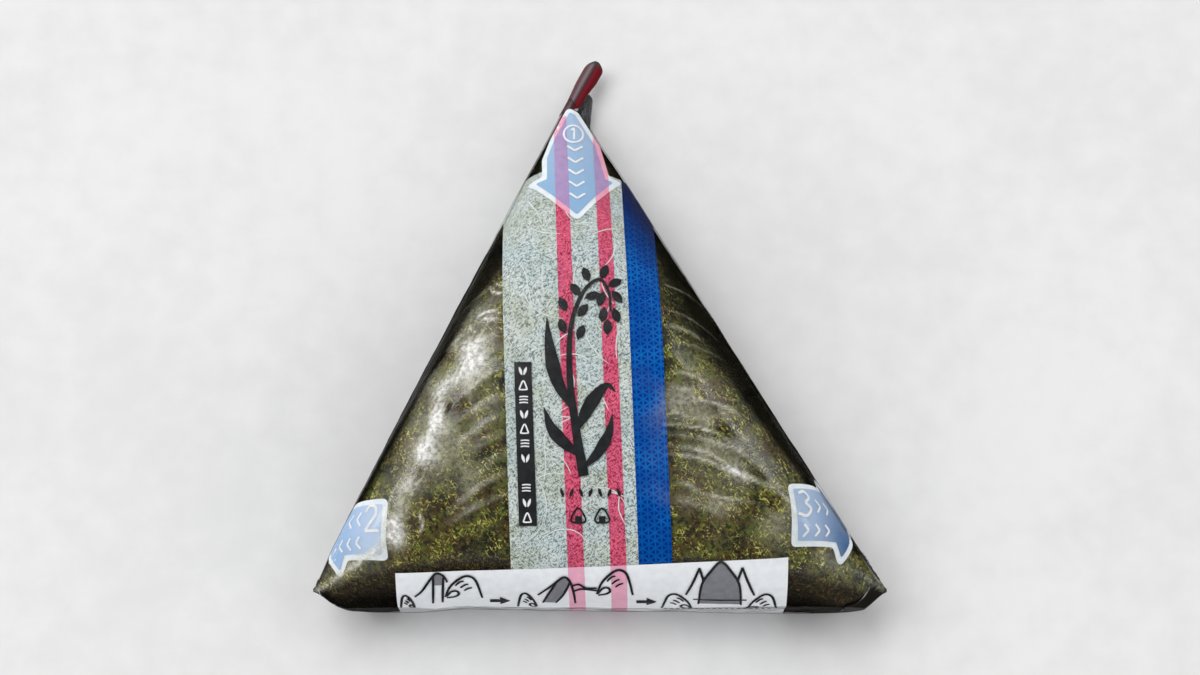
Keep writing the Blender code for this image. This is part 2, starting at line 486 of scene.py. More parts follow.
def plan_crease(points, height, width, milk_and_sheen=0.0, one_sided=0.0):
    """A crease given by plan points on the front face."""
    plan = curve_through(points, 1.5)
    crease(np.array([on_skin(x, y) for x, y in plan]), height, width, milk_and_sheen, one_sided)


print("points of a curve 10 mm long:", len(curve_through([(0.0, 0.0), (10.0, 0.0)], 1.5)))

# %% Fans beside the band
FAN_CREASES = 11
JITTER = (-1.4, 1.4)
# Each edge's x at y = 0 and its drift with y; each curve's shares of the reach and the fall.
RIGHT_EDGE, RIGHT_CURVE = (11.9, -0.0435), [(0.0, 0.0), (0.4, 0.12), (0.75, 0.5), (1.0, 1.0)]
LEFT_EDGE, LEFT_CURVE = (-17.9, -0.0336), [(0.0, 0.0), (-0.5, 0.42), (-1.0, 1.0)]
# The long pulls at the lower right, each by its own points.
LONG_PULLS = [((11.5, -23.7), (17.5, -24.3), (22.0, -25.6), (26.6, -28.8), (29.5, -32.0)),
              ((11.5, -25.4), (18.8, -26.3), (24.3, -27.9), (29.4, -31.5), (31.5, -34.0)),
              ((11.8, -27.8), (17.5, -28.3), (22.0, -30.1), (25.3, -32.4), (27.5, -34.6)),
              ((11.8, -29.0), (18.8, -30.1), (23.9, -32.2), (28.5, -33.8), (33.1, -36.0),
               (36.0, -38.5)),
              ((17.0, -36.0), (22.0, -36.9), (27.6, -37.8), (31.2, -39.2), (34.0, -41.5)),
              ((16.0, -18.8), (18.5, -19.3), (23.9, -20.6), (26.5, -22.5))]


def drawn(*spans):
    """One random number from each span, in their order."""
    return [rng.uniform(low, high) for low, high in spans]


def fan(edge, first, spacing, reaches, droops, curve, looks, one_sided):
    """Creases that droop from an edge of the band, each with its own reach and fall."""
    for index in range(FAN_CREASES):
        jitter, reach, droop = drawn(JITTER, reaches, droops)
        top = first - spacing * index + jitter
        fall = droop * reach
        start = edge[0] + edge[1] * top
        points = [(start + out * reach, top - down * fall) for out, down in curve]
        plan_crease(points, *drawn(*looks), one_sided)


# Each fan's looks are its height, width and milkiness; the milkiness is partly painted sheen.
fan(RIGHT_EDGE, 4.0, 4.2, (4.0, 12.0), (0.15, 0.45), RIGHT_CURVE,
    [(0.08, 0.18), (0.22, 0.45), (0.2, 0.45)], 0.35)
for pull in LONG_PULLS:
    plan_crease(pull, *drawn((0.12, 0.2), (0.24, 0.4), (0.55, 0.8)), 0.3)
fan(LEFT_EDGE, 3.0, 3.9, (4.0, 13.0), (0.45, 0.8), LEFT_CURVE,
    [(0.08, 0.24), (0.35, 0.9), (0.1, 0.35)], -0.3)
print("creased vertices:", int((lift > 0.01).sum()), "highest:", round(float(lift.max()), 2))

# %% [markdown]
# ## Folds, the painted highlight streak and the seam
#
# Folds gather at the ears and below the apex, because the flat film is pinched there. Along
# the left shoulder the film stands off, and a highlight streak is painted there as milkiness:
# one broad line and a bundle of thin ones. Glints are painted the same way at the left ear and
# on a few small puckers. The walls get long pulls from ear to apex, and the back one
# lengthwise seam.

# %% Folds into the ears and the apex
EAR_FOLDS = [((55.5, -54.0), (52.4, -51.0), (49.6, -47.2), (47.6, -43.5)),
             ((55.5, -54.0), (52.0, -51.6), (48.6, -49.8), (45.0, -48.4)),
             ((55.5, -53.6), (51.6, -49.0), (49.2, -44.6), (48.0, -41.5))]
APEX_FOLDS = [((-6.5, 44.0), (-9.5, 34.0), (-13.0, 25.0)),
              ((-6.3, 44.0), (-7.6, 33.0), (-8.8, 24.0)),
              ((-6.0, 44.0), (-4.6, 33.0), (-3.2, 24.0)),
              ((-6.0, 43.5), (-2.6, 35.0), (0.8, 29.0))]
# The folds into the right ear get more painted sheen than those into the left.
for fold in EAR_FOLDS:
    for hand, milk_and_sheen in ((-1, 0.1), (1, 0.5)):
        plan_crease([(hand * x, y) for x, y in fold], 0.25, 0.3, milk_and_sheen)
for fold in APEX_FOLDS:
    plan_crease(fold, 0.16, 1.1, 0.05)
print("folds:", 2 * len(EAR_FOLDS) + len(APEX_FOLDS))

# %% Painted highlights: streak, glints and puckers
SHOULDER = [(-43.3, -47.6), (-40.8, -45.3), (-38.9, -43.4), (-37.7, -41.2), (-37.0, -38.2),
            (-36.1, -35.5), (-34.8, -33.7), (-33.3, -29.2), (-31.8, -25.5), (-30.4, -21.8),
            (-28.7, -18.1), (-27.5, -14.3), (-24.2, -7.7), (-21.5, -2.5)]
EAR_GLINT = [(-55.5, -53.6), (-53.3, -52.5), (-50.6, -51.3), (-47.8, -49.8), (-45.2, -48.6),
             (-42.0, -46.5), (-38.4, -43.5)]
PUCKER_GLINTS = [[(-20.7, 3.3), (-20.3, 2.0), (-19.2, 1.3), (-17.9, 1.5)],
           [(-19.8, 3.6), (-18.9, 2.9), (-17.8, 2.8)],
           [(-23.1, -3.3), (-21.6, -2.5), (-19.6, -2.3), (-18.1, -3.1)],
           [(-22.2, -4.0), (-20.4, -3.6), (-18.6, -4.2)],
           [(-24.4, -4.5), (-23.8, -5.9), (-22.5, -6.8)],
           [(-33.6, -39.6), (-32.9, -41.6), (-33.4, -43.4)]]
STREAK_LINES = 9

# Painted highlight: the milky streak along the left shoulder, on a low ridge.
plan_crease(SHOULDER, 0.2, 1.2, 0.5, -0.2)
for _ in range(STREAK_LINES):
    begin = int(rng.integers(0, len(SHOULDER) - 6))
    aside, spread = drawn((-1.9, 1.9), (-1.2, 1.2))
    some = SHOULDER[begin:begin + int(rng.integers(5, 9))]
    line = [(x + aside + spread * i / len(some), y + 0.4 * aside)
            for i, (x, y) in enumerate(some)]
    plan_crease(line, 0.08, *drawn((0.2, 0.4), (0.4, 0.75)))
# Painted highlights: a bright line from the left ear's tip, then glints on the puckers.
plan_crease(EAR_GLINT, 0.15, 0.5, 1.0)
plan_crease([(x + 0.4, y + 0.7) for x, y in EAR_GLINT[2:]], 0.1, 0.7, 0.7)
for pucker in PUCKER_GLINTS:
    plan_crease(pucker, 0.14, 0.24, 1.0, 0.3)
print("milky vertices:", int((haze > 0.5).sum()))

# %% Side pulls and the back's seam
PULL_LEVELS = (3.0, 7.5, 11.0, 14.5)
for hand in (-1, 1):
    start, end = np.array([hand * 51.5, -50.0, 12.0]), np.array([-6.4 + hand * 3.0, 41.0, 6.0])
    for level in PULL_LEVELS:
        line = []
        for share in np.linspace(0.0, 1.0, 30):
            point = start * (1 - share) + end * share
            point[0] += hand * 8.0
            point[2] += (level - point[2]) * math.sin(math.pi * share) ** 0.7
            line.append(np.array(skin_tree.find_nearest(Vector(point))[0]))
        crease(np.array(line), 0.22, 0.8, 0.03)
seam = [skin_tree.find_nearest(Vector((-4.5 + 0.02 * y, y, 0.0)))[0]
        for y in np.linspace(-50, 40, 60)]
crease(np.array(seam), 0.0, 1.2, 0.3)
print("side pulls:", 2 * len(PULL_LEVELS))

# %% A soft quilting all over, and the film's points
for index, point in enumerate(skin.tolist()):
    wave = noise.noise(Vector(point) * 0.16) * 0.10 + noise.noise(Vector(point) * 0.45) * 0.045
    lift[index] += wave * min(1.0, to_sharp[index] / 10.0)
resting = skin[:, 2] < 0.6
lift[resting] = np.minimum(lift[resting], 0.0)
film_points = skin + skin_normals * lift[:, None]
film_points = np.clip(film_points, np.array(cad_box[0]) / MM, np.array(cad_box[1]) / MM)
print("film height:", round(float(film_points[:, 2].max()), 2))

# %% [markdown]
# ## Clear film
#
# Film is two mirrors with nothing between them: a few per cent of the light comes back, the
# rest passes straight through. So the finish mixes a see-through shader with a glossy one by
# Fresnel, held low at the rim. On the steep sides the film clings to the nori, and a film that
# clings mirrors less. Where haze is kept, a soft white comes in: partly the film's
# whitening at creases, partly painted sheen and highlights. In the ears and the apex, where
# several layers lie on each other, a dark grey comes in, and the same grey is painted as shade
# along the silhouette, where the film is seen edge on.

# %% Film finish
FILM_LOWEST = 0.05
FILM_MOST = 0.07
CLING_DULLS = 0.97
# Dark grey of stacked film layers, also painted as shade along the silhouette.
SMOKE_AND_SHADE = ink(30, 27, 23)
# White of the film's whitening and of painted sheen and highlights, thin and thick.
MILK_SHEEN_THIN, MILK_SHEEN_THICK = ink(216, 214, 184), ink(244, 243, 238)

finish, tree, at = start_material("clear_film")
mirror = tree.node("ShaderNodeFresnel", values={"IOR": 1.62}).most(FILM_LOWEST).least(FILM_MOST)
mirror = mirror * (1 - tree.kept("cling") * CLING_DULLS)
ripple = at.grain(2.2, 2.0) * 0.7 + at.grain(0.6, 2.0) * 0.3
waves = tree.node("ShaderNodeBump",
                  values={"Height": ripple, "Strength": 0.16, "Distance": 0.0004})
clear = tree.node("ShaderNodeBsdfTransparent", values={"Color": (0.97, 0.97, 0.97, 1.0)})
gloss = tree.node("ShaderNodeBsdfAnisotropic", values={"Roughness": 0.13, "Normal": waves})
film_shader = mirror.layer(clear, gloss)
# Painted shade: where the film is seen edge on, at the silhouette, it turns dark grey.
edge_on_shade = tree.node("ShaderNodeLayerWeight", {}, {"Blend": 0.5}, 1).rise(0.80, 0.94)
smoke_and_shade = tree.surface(SMOKE_AND_SHADE, 0.35, 0.01, waves)
film_shader = tree.kept("layers").most(edge_on_shade * 0.85).layer(film_shader, smoke_and_shade)
# Painted sheen and whitening: a soft white wherever haze is kept.
milk_and_sheen = tree.kept("haze")
flecks = at.grain(0.8, 5.0, rough=0.62).rise(0.34, 0.64)
white = tree.surface(milk_and_sheen.rise(0.05, 1.0).blend(MILK_SHEEN_THIN, MILK_SHEEN_THICK), 0.3, 0.3, waves)
film_finish = end_material(finish, (milk_and_sheen * (0.38 + flecks * 0.58)).layer(film_shader, white))
print("film nodes:", len(finish.node_tree.nodes))

# %% [markdown]
# ## Nori
#
# Roasted seaweed is a felt of tiny threads: nearly black where it is thick, olive and gold
# where light gets through, with bright flecks. The sheet follows the rice, so its form is the
# skin drawn in a little, rounded off short of the ears and the apex, and gently lumpy. Where
# the film stands off from it, in the ears, the film's layers close on each other.

# %% Nori form
NORI_DEPTH = 0.62
NORI_SIDE_DEPTH = 0.15
NORI_ARROW_DEPTH = 0.32
NORI_LUMPS = 0.2
PRINT_HALF_WIDTH = 19.0
LEFT_WALL = np.array([-0.901, 0.434])
RIGHT_WALL = np.array([0.857, 0.5155])
BASE_WALL = np.array([0.0, -1.0])
# Each corner's centre, its radius and the two walls that it joins.
NORI_CORNERS = [((-50.17, -51.7), 3.0, LEFT_WALL, BASE_WALL),
                ((45.8, -49.7), 5.5, RIGHT_WALL, BASE_WALL),
                ((-5.75, 41.76), 2.5, LEFT_WALL, RIGHT_WALL)]


def thinned(upward):
    """The share of a layer's depth that is kept: on the steep sides the layers lie closer."""
    return 0.35 + 0.65 * ramp(upward, 0.3, 0.8)


def nori_form(steep):
    """The sheet's points, and how far the film stands off from each."""
    printed = 1 - ramp(np.abs(skin[:, 0]), PRINT_HALF_WIDTH, PRINT_HALF_WIDTH + 4.0)
    panel = (1 - ramp(skin[:, 1], -46.0, -43.0)) * (1 - ramp(np.abs(skin[:, 0]), 38.5, 41.0))
    share = np.maximum(np.maximum(printed, panel), 0.5 * (1 - steep))
    depth = NORI_SIDE_DEPTH + (NORI_DEPTH - NORI_SIDE_DEPTH) * share
    for hand in (-1, 1):
        to_arrow = np.hypot(skin[:, 0] - hand * 44.0, skin[:, 1] + 42.0)
        depth = np.maximum(depth, NORI_ARROW_DEPTH * (1 - ramp(to_arrow, 11.0, 14.0)))
    depth = depth * thinned(skin_normals[:, 2])
    points = skin + skin_normals * (np.minimum(lift, lift * steep) - depth)[:, None]
    before = points.copy()
    for (x, y), radius, wall_one, wall_two in NORI_CORNERS:
        centre = np.array([x, y])
        out = (wall_one + wall_two) / np.linalg.norm(wall_one + wall_two)
        offset = points[:, :2] - centre
        distance = np.maximum(np.linalg.norm(offset, axis=1), 1e-6)
        reach = radius - NORI_SIDE_DEPTH
        beyond = (distance > reach) & (offset @ out > float(out @ wall_one) * distance)
        shrink = np.where(beyond, reach / distance, 1.0)
        points[:, :2] = centre + offset * shrink[:, None]
    gap = np.linalg.norm(points - before, axis=1)
    for index, point in enumerate(points.tolist()):
        spot = Vector(point)
        lump = (noise.noise(spot * 0.28) + 0.6 * noise.noise(spot * 0.8)
                + 0.4 * noise.noise(spot * 1.9))
        sunk = NORI_LUMPS * depth[index] / NORI_DEPTH * (0.5 + 0.5 * lump)
        points[index] -= skin_normals[index] * sunk
    return points, gap


print("nori corners rounded:", len(NORI_CORNERS))

# %% [markdown]
# ## The film's mesh
#
# The film piece is the creased skin, with three numbers kept on its vertices for its finish:
# haze where it is milky or carries painted sheen, layers where several films lie on
# each other, and cling where it lies tight on what is under it. It replaces the plain solid.

# %% Making a piece


def new_piece(name, points, faces, finish):
    """A mesh piece from millimetre points, riding on the pack."""
    mesh = bpy.data.meshes.new(name)
    mesh.from_pydata((np.asarray(points, float) * MM).tolist(), [], [list(face) for face in faces])
    mesh.materials.append(finish)
    mesh.shade_smooth()
    piece = bpy.data.objects.new(name, mesh)
    bpy.context.scene.collection.objects.link(piece)
    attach(piece, "root")
    return piece


def add_values(piece, name, values):
    """Keep a number per vertex for the finish to read."""
    layer = piece.data.attributes.new(name, "FLOAT", "POINT")
    layer.data.foreach_set("value", np.asarray(values, np.float32))


print("pieces are made from millimetres, each", MM, "m")

# %% Painted sheen patches


def sheen_patch(centre, radii, turn, strength):
    """A soft oval patch of painted sheen on the front."""
    dx = skin[:, 0] - centre[0]
    dy = skin[:, 1] - centre[1]
    u = (dx * math.cos(turn) + dy * math.sin(turn)) / radii[0]
    v = (dy * math.cos(turn) - dx * math.sin(turn)) / radii[1]
    return strength * np.exp(-(u * u + v * v)) * (skin_normals[:, 2] > 0.3)


cloudy = np.array([0.5 + noise.noise(Vector(point) * 0.22) for point in skin.tolist()])
haze = haze * (0.55 + 0.6 * cloudy)
# Each painted sheen patch's centre, radii, turn and strength.
SHEEN_PATCHES = [((-24.0, -14.0), (6.0, 13.0), -0.45, 0.45), ((-25.0, -33.0), (5.0, 4.0), 0.6, 0.20),
                 ((-31.4, -26.0), (3.2, 11.0), -0.38, 0.48), ((-26.2, -12.0), (4.2, 9.0), -0.45, 0.30),
                 ((-38.4, -43.0), (1.8, 2.6), 0.5, 1.3), ((-42.8, -46.6), (2.6, 1.2), 0.5, 0.3),
                 ((23.4, -27.6), (9.0, 4.4), -0.6, 0.27), ((14.3, -19.4), (3.4, 2.6), 0.0, 0.20),
                 ((20.8, -37.8), (8.0, 2.0), -0.2, 0.17), ((33.0, -38.5), (4.0, 6.0), 0.0, 0.18),
                 ((21.0, -28.0), (8.0, 15.0), 0.4, 0.13), ((43.0, -47.8), (5.0, 1.6), -0.4, 0.26)]
for centre, radii, turn, strength in SHEEN_PATCHES:
    haze += sheen_patch(centre, radii, turn, strength) * cloudy * 1.5
print("vertices with haze:", int((haze > 0.1).sum()))

# %% Film piece
to_right = ramp(skin[:, 0], -2.0, 8.0)
steep = 1 - ramp(skin_normals[:, 2], 0.62 + 0.13 * to_right, 0.86 + 0.09 * to_right)
haze *= 1 - 0.8 * (1 - ramp(skin_normals[:, 2], 0.35, 0.6))
nori_points, gap = nori_form(steep)
layers = 0.97 * ramp(gap, 0.02, 0.25) * (1 - 0.75 * ramp(skin[:, 1], 36.0, 40.0))
film = new_piece("film", film_points, quads, film_finish)
add_values(film, "haze", np.clip(haze, 0.0, 1.0))
add_values(film, "layers", np.clip(layers, 0.0, 1.0))
band = 1 - ramp(np.abs(skin[:, 0] + 3.3 + 0.037 * skin[:, 1]), 15.0, 17.5)
to_base = ramp(-skin_normals[:, 1], 0.35, 0.6)
add_values(film, "cling", np.maximum(np.maximum(steep, 0.97 * band), to_base))
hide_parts("film_pack")
film_tree = BVHTree.FromPolygons(film_points.tolist(), quads.tolist())
print("film faces:", len(film.data.polygons))

# %% [markdown]
# ## Nori's finish
#
# Noise at four scales makes the felt: dark and olive clouds, a ridged mesh of fibres, fine
# stretched threads in four directions, and pinholes. On the tucked base the felt is painted
# dark amber as shade, and on the steep sides a near-black painted shade takes its place.

# %% Nori finish
THREAD_PULL = (0.55, 3.4, 1.0)

finish, tree, at = start_material("nori")
cloud = at.grain(5.0, 4.0).rise(0.40, 0.60)
warmth = at.grain(7.0, 3.0, turn=1.1).rise(0.44, 0.62)
base = cloud.blend(ink(22, 22, 11), ink(84, 83, 35))
base = (warmth * 0.7).blend(base, ink(70, 46, 20))
felt = at.grain(0.9, 5.0, kind="RIDGED_MULTIFRACTAL", rough=0.7).rise(0.5, 0.8)
base = (felt * (0.3 + cloud * 0.6)).blend(base, ink(154, 149, 68))
green = at.grain(1.8, 4.0, turn=0.4).rise(0.52, 0.64)
base = (green * 0.6).blend(base, ink(86, 100, 30))
threads = at.grain(0.4, 2.0, THREAD_PULL, 0.5).rise(0.60, 0.68)
for turn in (-0.7, 1.7, 2.6):
    threads = threads.most(at.grain(0.4, 2.0, THREAD_PULL, turn).rise(0.61, 0.69))
patches = at.grain(3.0, 3.0, turn=0.3).rise(0.42, 0.6)
base = (threads * (0.1 + patches * 0.8)).blend(base, ink(226, 220, 112))
holes = at.grain(0.8, 4.0, turn=0.9).rise(0.52, 0.62)
base = (holes * 0.85).blend(base, ink(10, 10, 5))
# Painted shade on the wall facing the base: dark amber felt with golden threads.
amber_base_shade = at.grain(0.9, 4.0, (1.6, 1.0, 1.0)).rise(0.46, 0.68).blend(ink(6, 4, 2), ink(50, 27, 7))
amber_base_shade = (threads * 0.35).blend(amber_base_shade, ink(132, 108, 36))
base = tree.kept("low").blend(base, amber_base_shade)
relief = tree.node("ShaderNodeBump", values={
    "Height": felt * 0.5 + threads * 0.5, "Strength": 0.8, "Distance": 0.0002})
sheet = tree.surface(base, 0.6 - threads * 0.25, 0.2, relief)
# Painted shade: near-black felt on the steep sides.
dark = tree.surface(cloud.blend(ink(4, 4, 3), ink(10, 9, 6)), 0.7, 0.0)
nori_finish = end_material(finish, tree.kept("doubled").layer(sheet, dark))
print("nori nodes:", len(finish.node_tree.nodes))

# %% Nori piece
nori = new_piece("nori_sheet", nori_points, quads, nori_finish)
# Where the painted shades go: doubled on the steep sides, low on the wall facing the base.
add_values(nori, "doubled", 0.97 * (1 - ramp(skin_normals[:, 2], 0.42, 0.78)))
add_values(nori, "low", 0.92 * ramp(-skin_normals[:, 1], 0.38, 0.54))
print("nori faces:", len(nori.data.polygons))

# %% [markdown]
# ## The printed band
#
# The print lies on the inside of the film, so every field of colour is a thin skin of its own
# just under it: a white-fibre paper pattern, two pink tear stripes, a blue stripe and a white
# panel that folds round the base. Each is cut from a copy of the film with two upright planes,
# so that it follows every crease and runs on round the base and up the back.

# %% Cutting strips out of the film
film_normals = surface_normals(film_points, quads)
STRIP_MARGIN = 2.0


def cut_strip(name, walls, depth, finish):
    """The part of the film on the inner side of every wall, sunk by a depth.

    A wall is a point and the direction that points out of the strip."""
    keep = np.ones(len(film_points), bool)
    for point, out in walls:
        keep &= (film_points - np.array(point)) @ np.array(out) < STRIP_MARGIN
    used = quads[keep[quads].all(axis=1)]
    chosen = np.unique(used)
    place = np.full(len(film_points), -1)
    place[chosen] = np.arange(len(chosen))
    depths = depth * thinned(film_normals[chosen, 2])
    sunk = film_points[chosen] - film_normals[chosen] * depths[:, None]
    mesh = bpy.data.meshes.new("cut")
    mesh.from_pydata(sunk.tolist(), [], place[used].tolist())
    cut = bmesh.new()
    cut.from_mesh(mesh)
    for point, out in walls:
        everything = [*cut.verts, *cut.edges, *cut.faces]
        bmesh.ops.bisect_plane(cut, geom=everything, plane_co=point, plane_no=out, clear_outer=True)
    points = [vertex.co[:] for vertex in cut.verts]
    cut.verts.index_update()
    faces = [[vertex.index for vertex in face.verts] for face in cut.faces]
    cut.free()
    bpy.data.meshes.remove(mesh)
    return new_piece(name, points, faces, finish)


def upright_wall(start, slope, side):
    """A wall through x = start at y = 0 that drifts with y; side +1 keeps what is left of it."""
    length = math.hypot(1.0, slope)
    return ((start, 0.0, 0.0), (side / length, -side * slope / length, 0.0))


print("film faces to cut from:", len(quads))

# %% [markdown]
# ## Print finishes
#
# The fibre paper is pale with short dark dashes and olive clouds where the nori shows through.
# The stripes carry the same dashes in their own colour. The blue has a fine traditional
# lattice: lines in three directions that cross in small stars.

# %% Paper and ink finishes
DASH_PULL = (0.7, 2.4, 1.0)
COOL_TINT = (0.78, 0.90, 1.0, 1.0)
PALER = 1.18


def paper_finish(name, light, dark, cloud, strength):
    """Printed fibre paper: a light ground, short dark dashes, pale hairs and soft clouds."""
    finish, tree, at = start_material(name)
    dashes = at.grain(0.3, 2.0, DASH_PULL, 0.6).rise(0.52, 0.62)
    dashes = dashes.most(at.grain(0.3, 2.0, DASH_PULL, -0.8).rise(0.53, 0.63))
    hairs = at.grain(0.4, 2.0, (0.5, 5.0, 1.0), 1.2).rise(0.56, 0.66)
    soft = at.grain(5.0, 3.0).rise(0.42, 0.62)
    cool = at.grain(9.0, 3.0, turn=0.8).rise(0.46, 0.62)
    cooled = tuple(value * tint for value, tint in zip(light, COOL_TINT))
    colour = (cool * 0.5).blend((soft * 0.6).blend(light, cloud), cooled)
    colour = (dashes * strength).blend(colour, dark)
    paler = tuple(min(1.0, value * PALER) for value in light[:3]) + (1.0,)
    return end_material(finish, tree.surface((hairs * 0.7).blend(colour, paler), 0.6, 0.08))


def plain_ink(name, colour, other, roughness=0.45):
    """A flat printing ink with a faint uneven lay."""
    finish, tree, at = start_material(name)
    lay = at.grain(1.6, 4.0).rise(0.35, 0.65)
    return end_material(finish, tree.surface(lay.blend(colour, other), roughness, 0.1))


paper = paper_finish("fibre_paper", ink(206, 215, 212), ink(78, 90, 90), ink(178, 186, 162), 0.85)
pink = paper_finish("pink_stripe", ink(224, 99, 129), ink(132, 24, 54), ink(208, 84, 114), 0.95)
panel_white = plain_ink("panel_white", ink(246, 249, 252), ink(238, 242, 247))
panel_pink = plain_ink("panel_pink", ink(240, 178, 202), ink(234, 168, 194))
print("finishes so far:", len(bpy.data.materials))

# %% Lattice finish
LATTICE_TURN = 2.3
LATTICE_PITCH = 1.2
SHADE_HEIGHTS = (11.0, 28.0)

finish, tree, at = start_material("blue_lattice")
x, y, height = at.parts()
lines = None
for step in range(3):
    angle = math.radians(60 * step + LATTICE_TURN)
    across = x * (math.cos(angle) / LATTICE_PITCH) + y * (math.sin(angle) / LATTICE_PITCH)
    edge = abs(across.fraction() - 0.5).rise(0.28, 0.46)
    lines = edge if lines is None else lines.most(edge)
patchy = at.grain(4.0, 3.0).rise(0.35, 0.7)
colour = (lines * (0.45 + patchy * 0.5)).blend(ink(0, 48, 134), ink(8, 104, 184))
colour = height.rise(*SHADE_HEIGHTS).blend(ink(0, 14, 64), colour)
lattice = end_material(finish, tree.surface(colour, 0.5, 0.02))
print("lattice nodes:", len(finish.node_tree.nodes))

# %% [markdown]
# ## The band's strips
#
# Each stripe is given by its two edges, as x at y = 0 and a drift with y, because the stripes
# narrow and lean a little on the real band. The panel's top is a slanted cut, and the strips
# stop where the film is pinched. Deeper strips lie under the others.

# %% Band strips
PAPER_WALLS = (-18.16, -0.0336)
PINK_ONE = ((-7.73, -0.0362), (-4.97, -0.0412))
PINK_TWO = ((0.09, -0.0377), (2.86, -0.0416))
BLUE = ((5.27, -0.0394), (11.3, -0.0435))
PANEL_EDGE = ((-38.08, -50.17, 20.9), (34.66, -47.62, 22.7))
PANEL_BACK_EDGE = -40.0

panel_run = np.array(PANEL_EDGE[1]) - np.array(PANEL_EDGE[0])
panel_fall = np.array([0.0, PANEL_BACK_EDGE, 0.0]) - np.array([0.0, -49.0, 22.0])
panel_out = np.cross(panel_run, panel_fall)
panel_out /= np.linalg.norm(panel_out)
if panel_out[1] < 0:
    panel_out = -panel_out
panel_top = (PANEL_EDGE[0], tuple(panel_out))
above_panel = (PANEL_EDGE[0], tuple(-panel_out))
apex_end = ((0.0, 28.6, 0.0), (0.0, 1.0, 0.0))
panel_ends = [((-38.0, 0.0, 0.0), (-1.0, 0.0, 0.0)), ((34.9, 0.0, 0.0), (1.0, 0.0, 0.0))]


def between(left, right):
    """The two walls of a lengthwise stripe."""
    return [upright_wall(*left, -1), upright_wall(*right, 1)]


# Each strip's name, its walls, its depth under the film and its finish.
STRIPS = [("paper_print", [*between(PAPER_WALLS, BLUE[0]), apex_end], 0.38, paper),
          ("pink_stripe_left", [*between(*PINK_ONE), above_panel, apex_end], 0.31, pink),
          ("pink_stripe_right", [*between(*PINK_TWO), above_panel, apex_end], 0.31, pink),
          ("blue_stripe", [*between(*BLUE), above_panel, apex_end], 0.31, lattice),
          ("base_panel", [panel_top, *panel_ends], 0.25, panel_white),
          ("panel_pink_left", [*between(*PINK_ONE), panel_top], 0.20, panel_pink),
          ("panel_pink_right", [*between(*PINK_TWO), panel_top], 0.20, panel_pink)]
for name, walls, depth, finish in STRIPS:
    cut_strip(name, walls, depth, finish)
print("strips cut:", len(STRIPS))

# %% [markdown]
# ## Laying drawn shapes on the film
#
# Arrows, drawings and brush work are cut or drawn flat first, then dropped straight onto the
# film along one direction, and sunk to their own depth. A cut shape is a fine grid trimmed
# along its outline; a drawn stroke is a ribbon that swells and tapers.

# %% Flat shapes
CELL = 0.55
FRONT = ((0.0, 0.0, 0.0), (0.0, 0.0, 1.0))


def inside(outline, x, y):
    """Whether a flat point lies in an outline."""
    hit = False
    for index in range(len(outline)):
        (ax, ay), (bx, by) = outline[index - 1], outline[index]
        if (ay > y) != (by > y) and x < (bx - ax) * (y - ay) / (by - ay) + ax:
            hit = not hit
    return hit


def cut_shape(outline, cell=CELL):
    """A fine flat grid trimmed to an outline: flat points and faces."""
    xs = [point[0] for point in outline]
    ys = [point[1] for point in outline]
    columns = int((max(xs) - min(xs)) / cell) + 2
    rows = int((max(ys) - min(ys)) / cell) + 2
    grid = bmesh.new()
    spots = [[grid.verts.new((min(xs) - 0.01 + column * cell, min(ys) - 0.01 + row * cell, 0.0))
              for column in range(columns + 1)] for row in range(rows + 1)]
    for row in range(rows):
        for column in range(columns):
            grid.faces.new((spots[row][column], spots[row][column + 1],
                            spots[row + 1][column + 1], spots[row + 1][column]))
    for index in range(len(outline)):
        (ax, ay), (bx, by) = outline[index - 1], outline[index]
        near = []
        for face in grid.faces:
            middle = face.calc_center_bounds()
            if (min(ax, bx) - cell < middle.x < max(ax, bx) + cell
                    and min(ay, by) - cell < middle.y < max(ay, by) + cell):
                near.append(face)
        edges = {edge for face in near for edge in face.edges}
        verts = {vertex for face in near for vertex in face.verts}
        if near and (ax, ay) != (bx, by):
            bmesh.ops.bisect_plane(grid, geom=[*verts, *edges, *near], plane_co=(ax, ay, 0.0),
                                   plane_no=(by - ay, ax - bx, 0.0))
    outer = []
    for face in grid.faces:
        middle = face.calc_center_median()
        if not inside(outline, middle.x, middle.y):
            outer.append(face)
    bmesh.ops.delete(grid, geom=outer, context="FACES")
    bmesh.ops.remove_doubles(grid, verts=grid.verts, dist=0.002)
    grid.verts.index_update()
    points = [(vertex.co.x, vertex.co.y) for vertex in grid.verts]
    faces = [[vertex.index for vertex in face.verts] for face in grid.faces]
    grid.free()
    return points, faces


print("faces of a cut square:", len(cut_shape([(0.0, 0.0), (2.0, 0.0), (2.0, 2.0), (0.0, 2.0)])[1]))

# %% Strokes


def stroke(points, widths, spacing=0.5):
    """A ribbon along a smooth line; widths are spread evenly over its length."""
    line = curve_through(points, spacing)
    steps = np.linspace(0.0, 1.0, len(line))
    wide = np.interp(steps, np.linspace(0.0, 1.0, len(widths)), widths)
    run = np.gradient(line, axis=0)
    run /= np.maximum(np.linalg.norm(run, axis=1), 1e-9)[:, None]
    side = np.stack([-run[:, 1], run[:, 0]], axis=1)
    columns = 2 if max(widths) < 0.7 else 4
    flat, faces = [], []
    for index in range(len(line)):
        for column in range(columns + 1):
            share = column / columns - 0.5
            flat.append(tuple(line[index] + side[index] * wide[index] * share))
    for index in range(len(line) - 1):
        for column in range(columns):
            first = index * (columns + 1) + column
            faces.append((first, first + columns + 1, first + columns + 2, first + 1))
    return flat, faces


print("points of a straight stroke:", len(stroke([(0.0, 0.0), (5.0, 0.0)], [1.0, 1.0])[0]))

# %% Rounding an outline and drawing it in
ARC_STEPS = 5


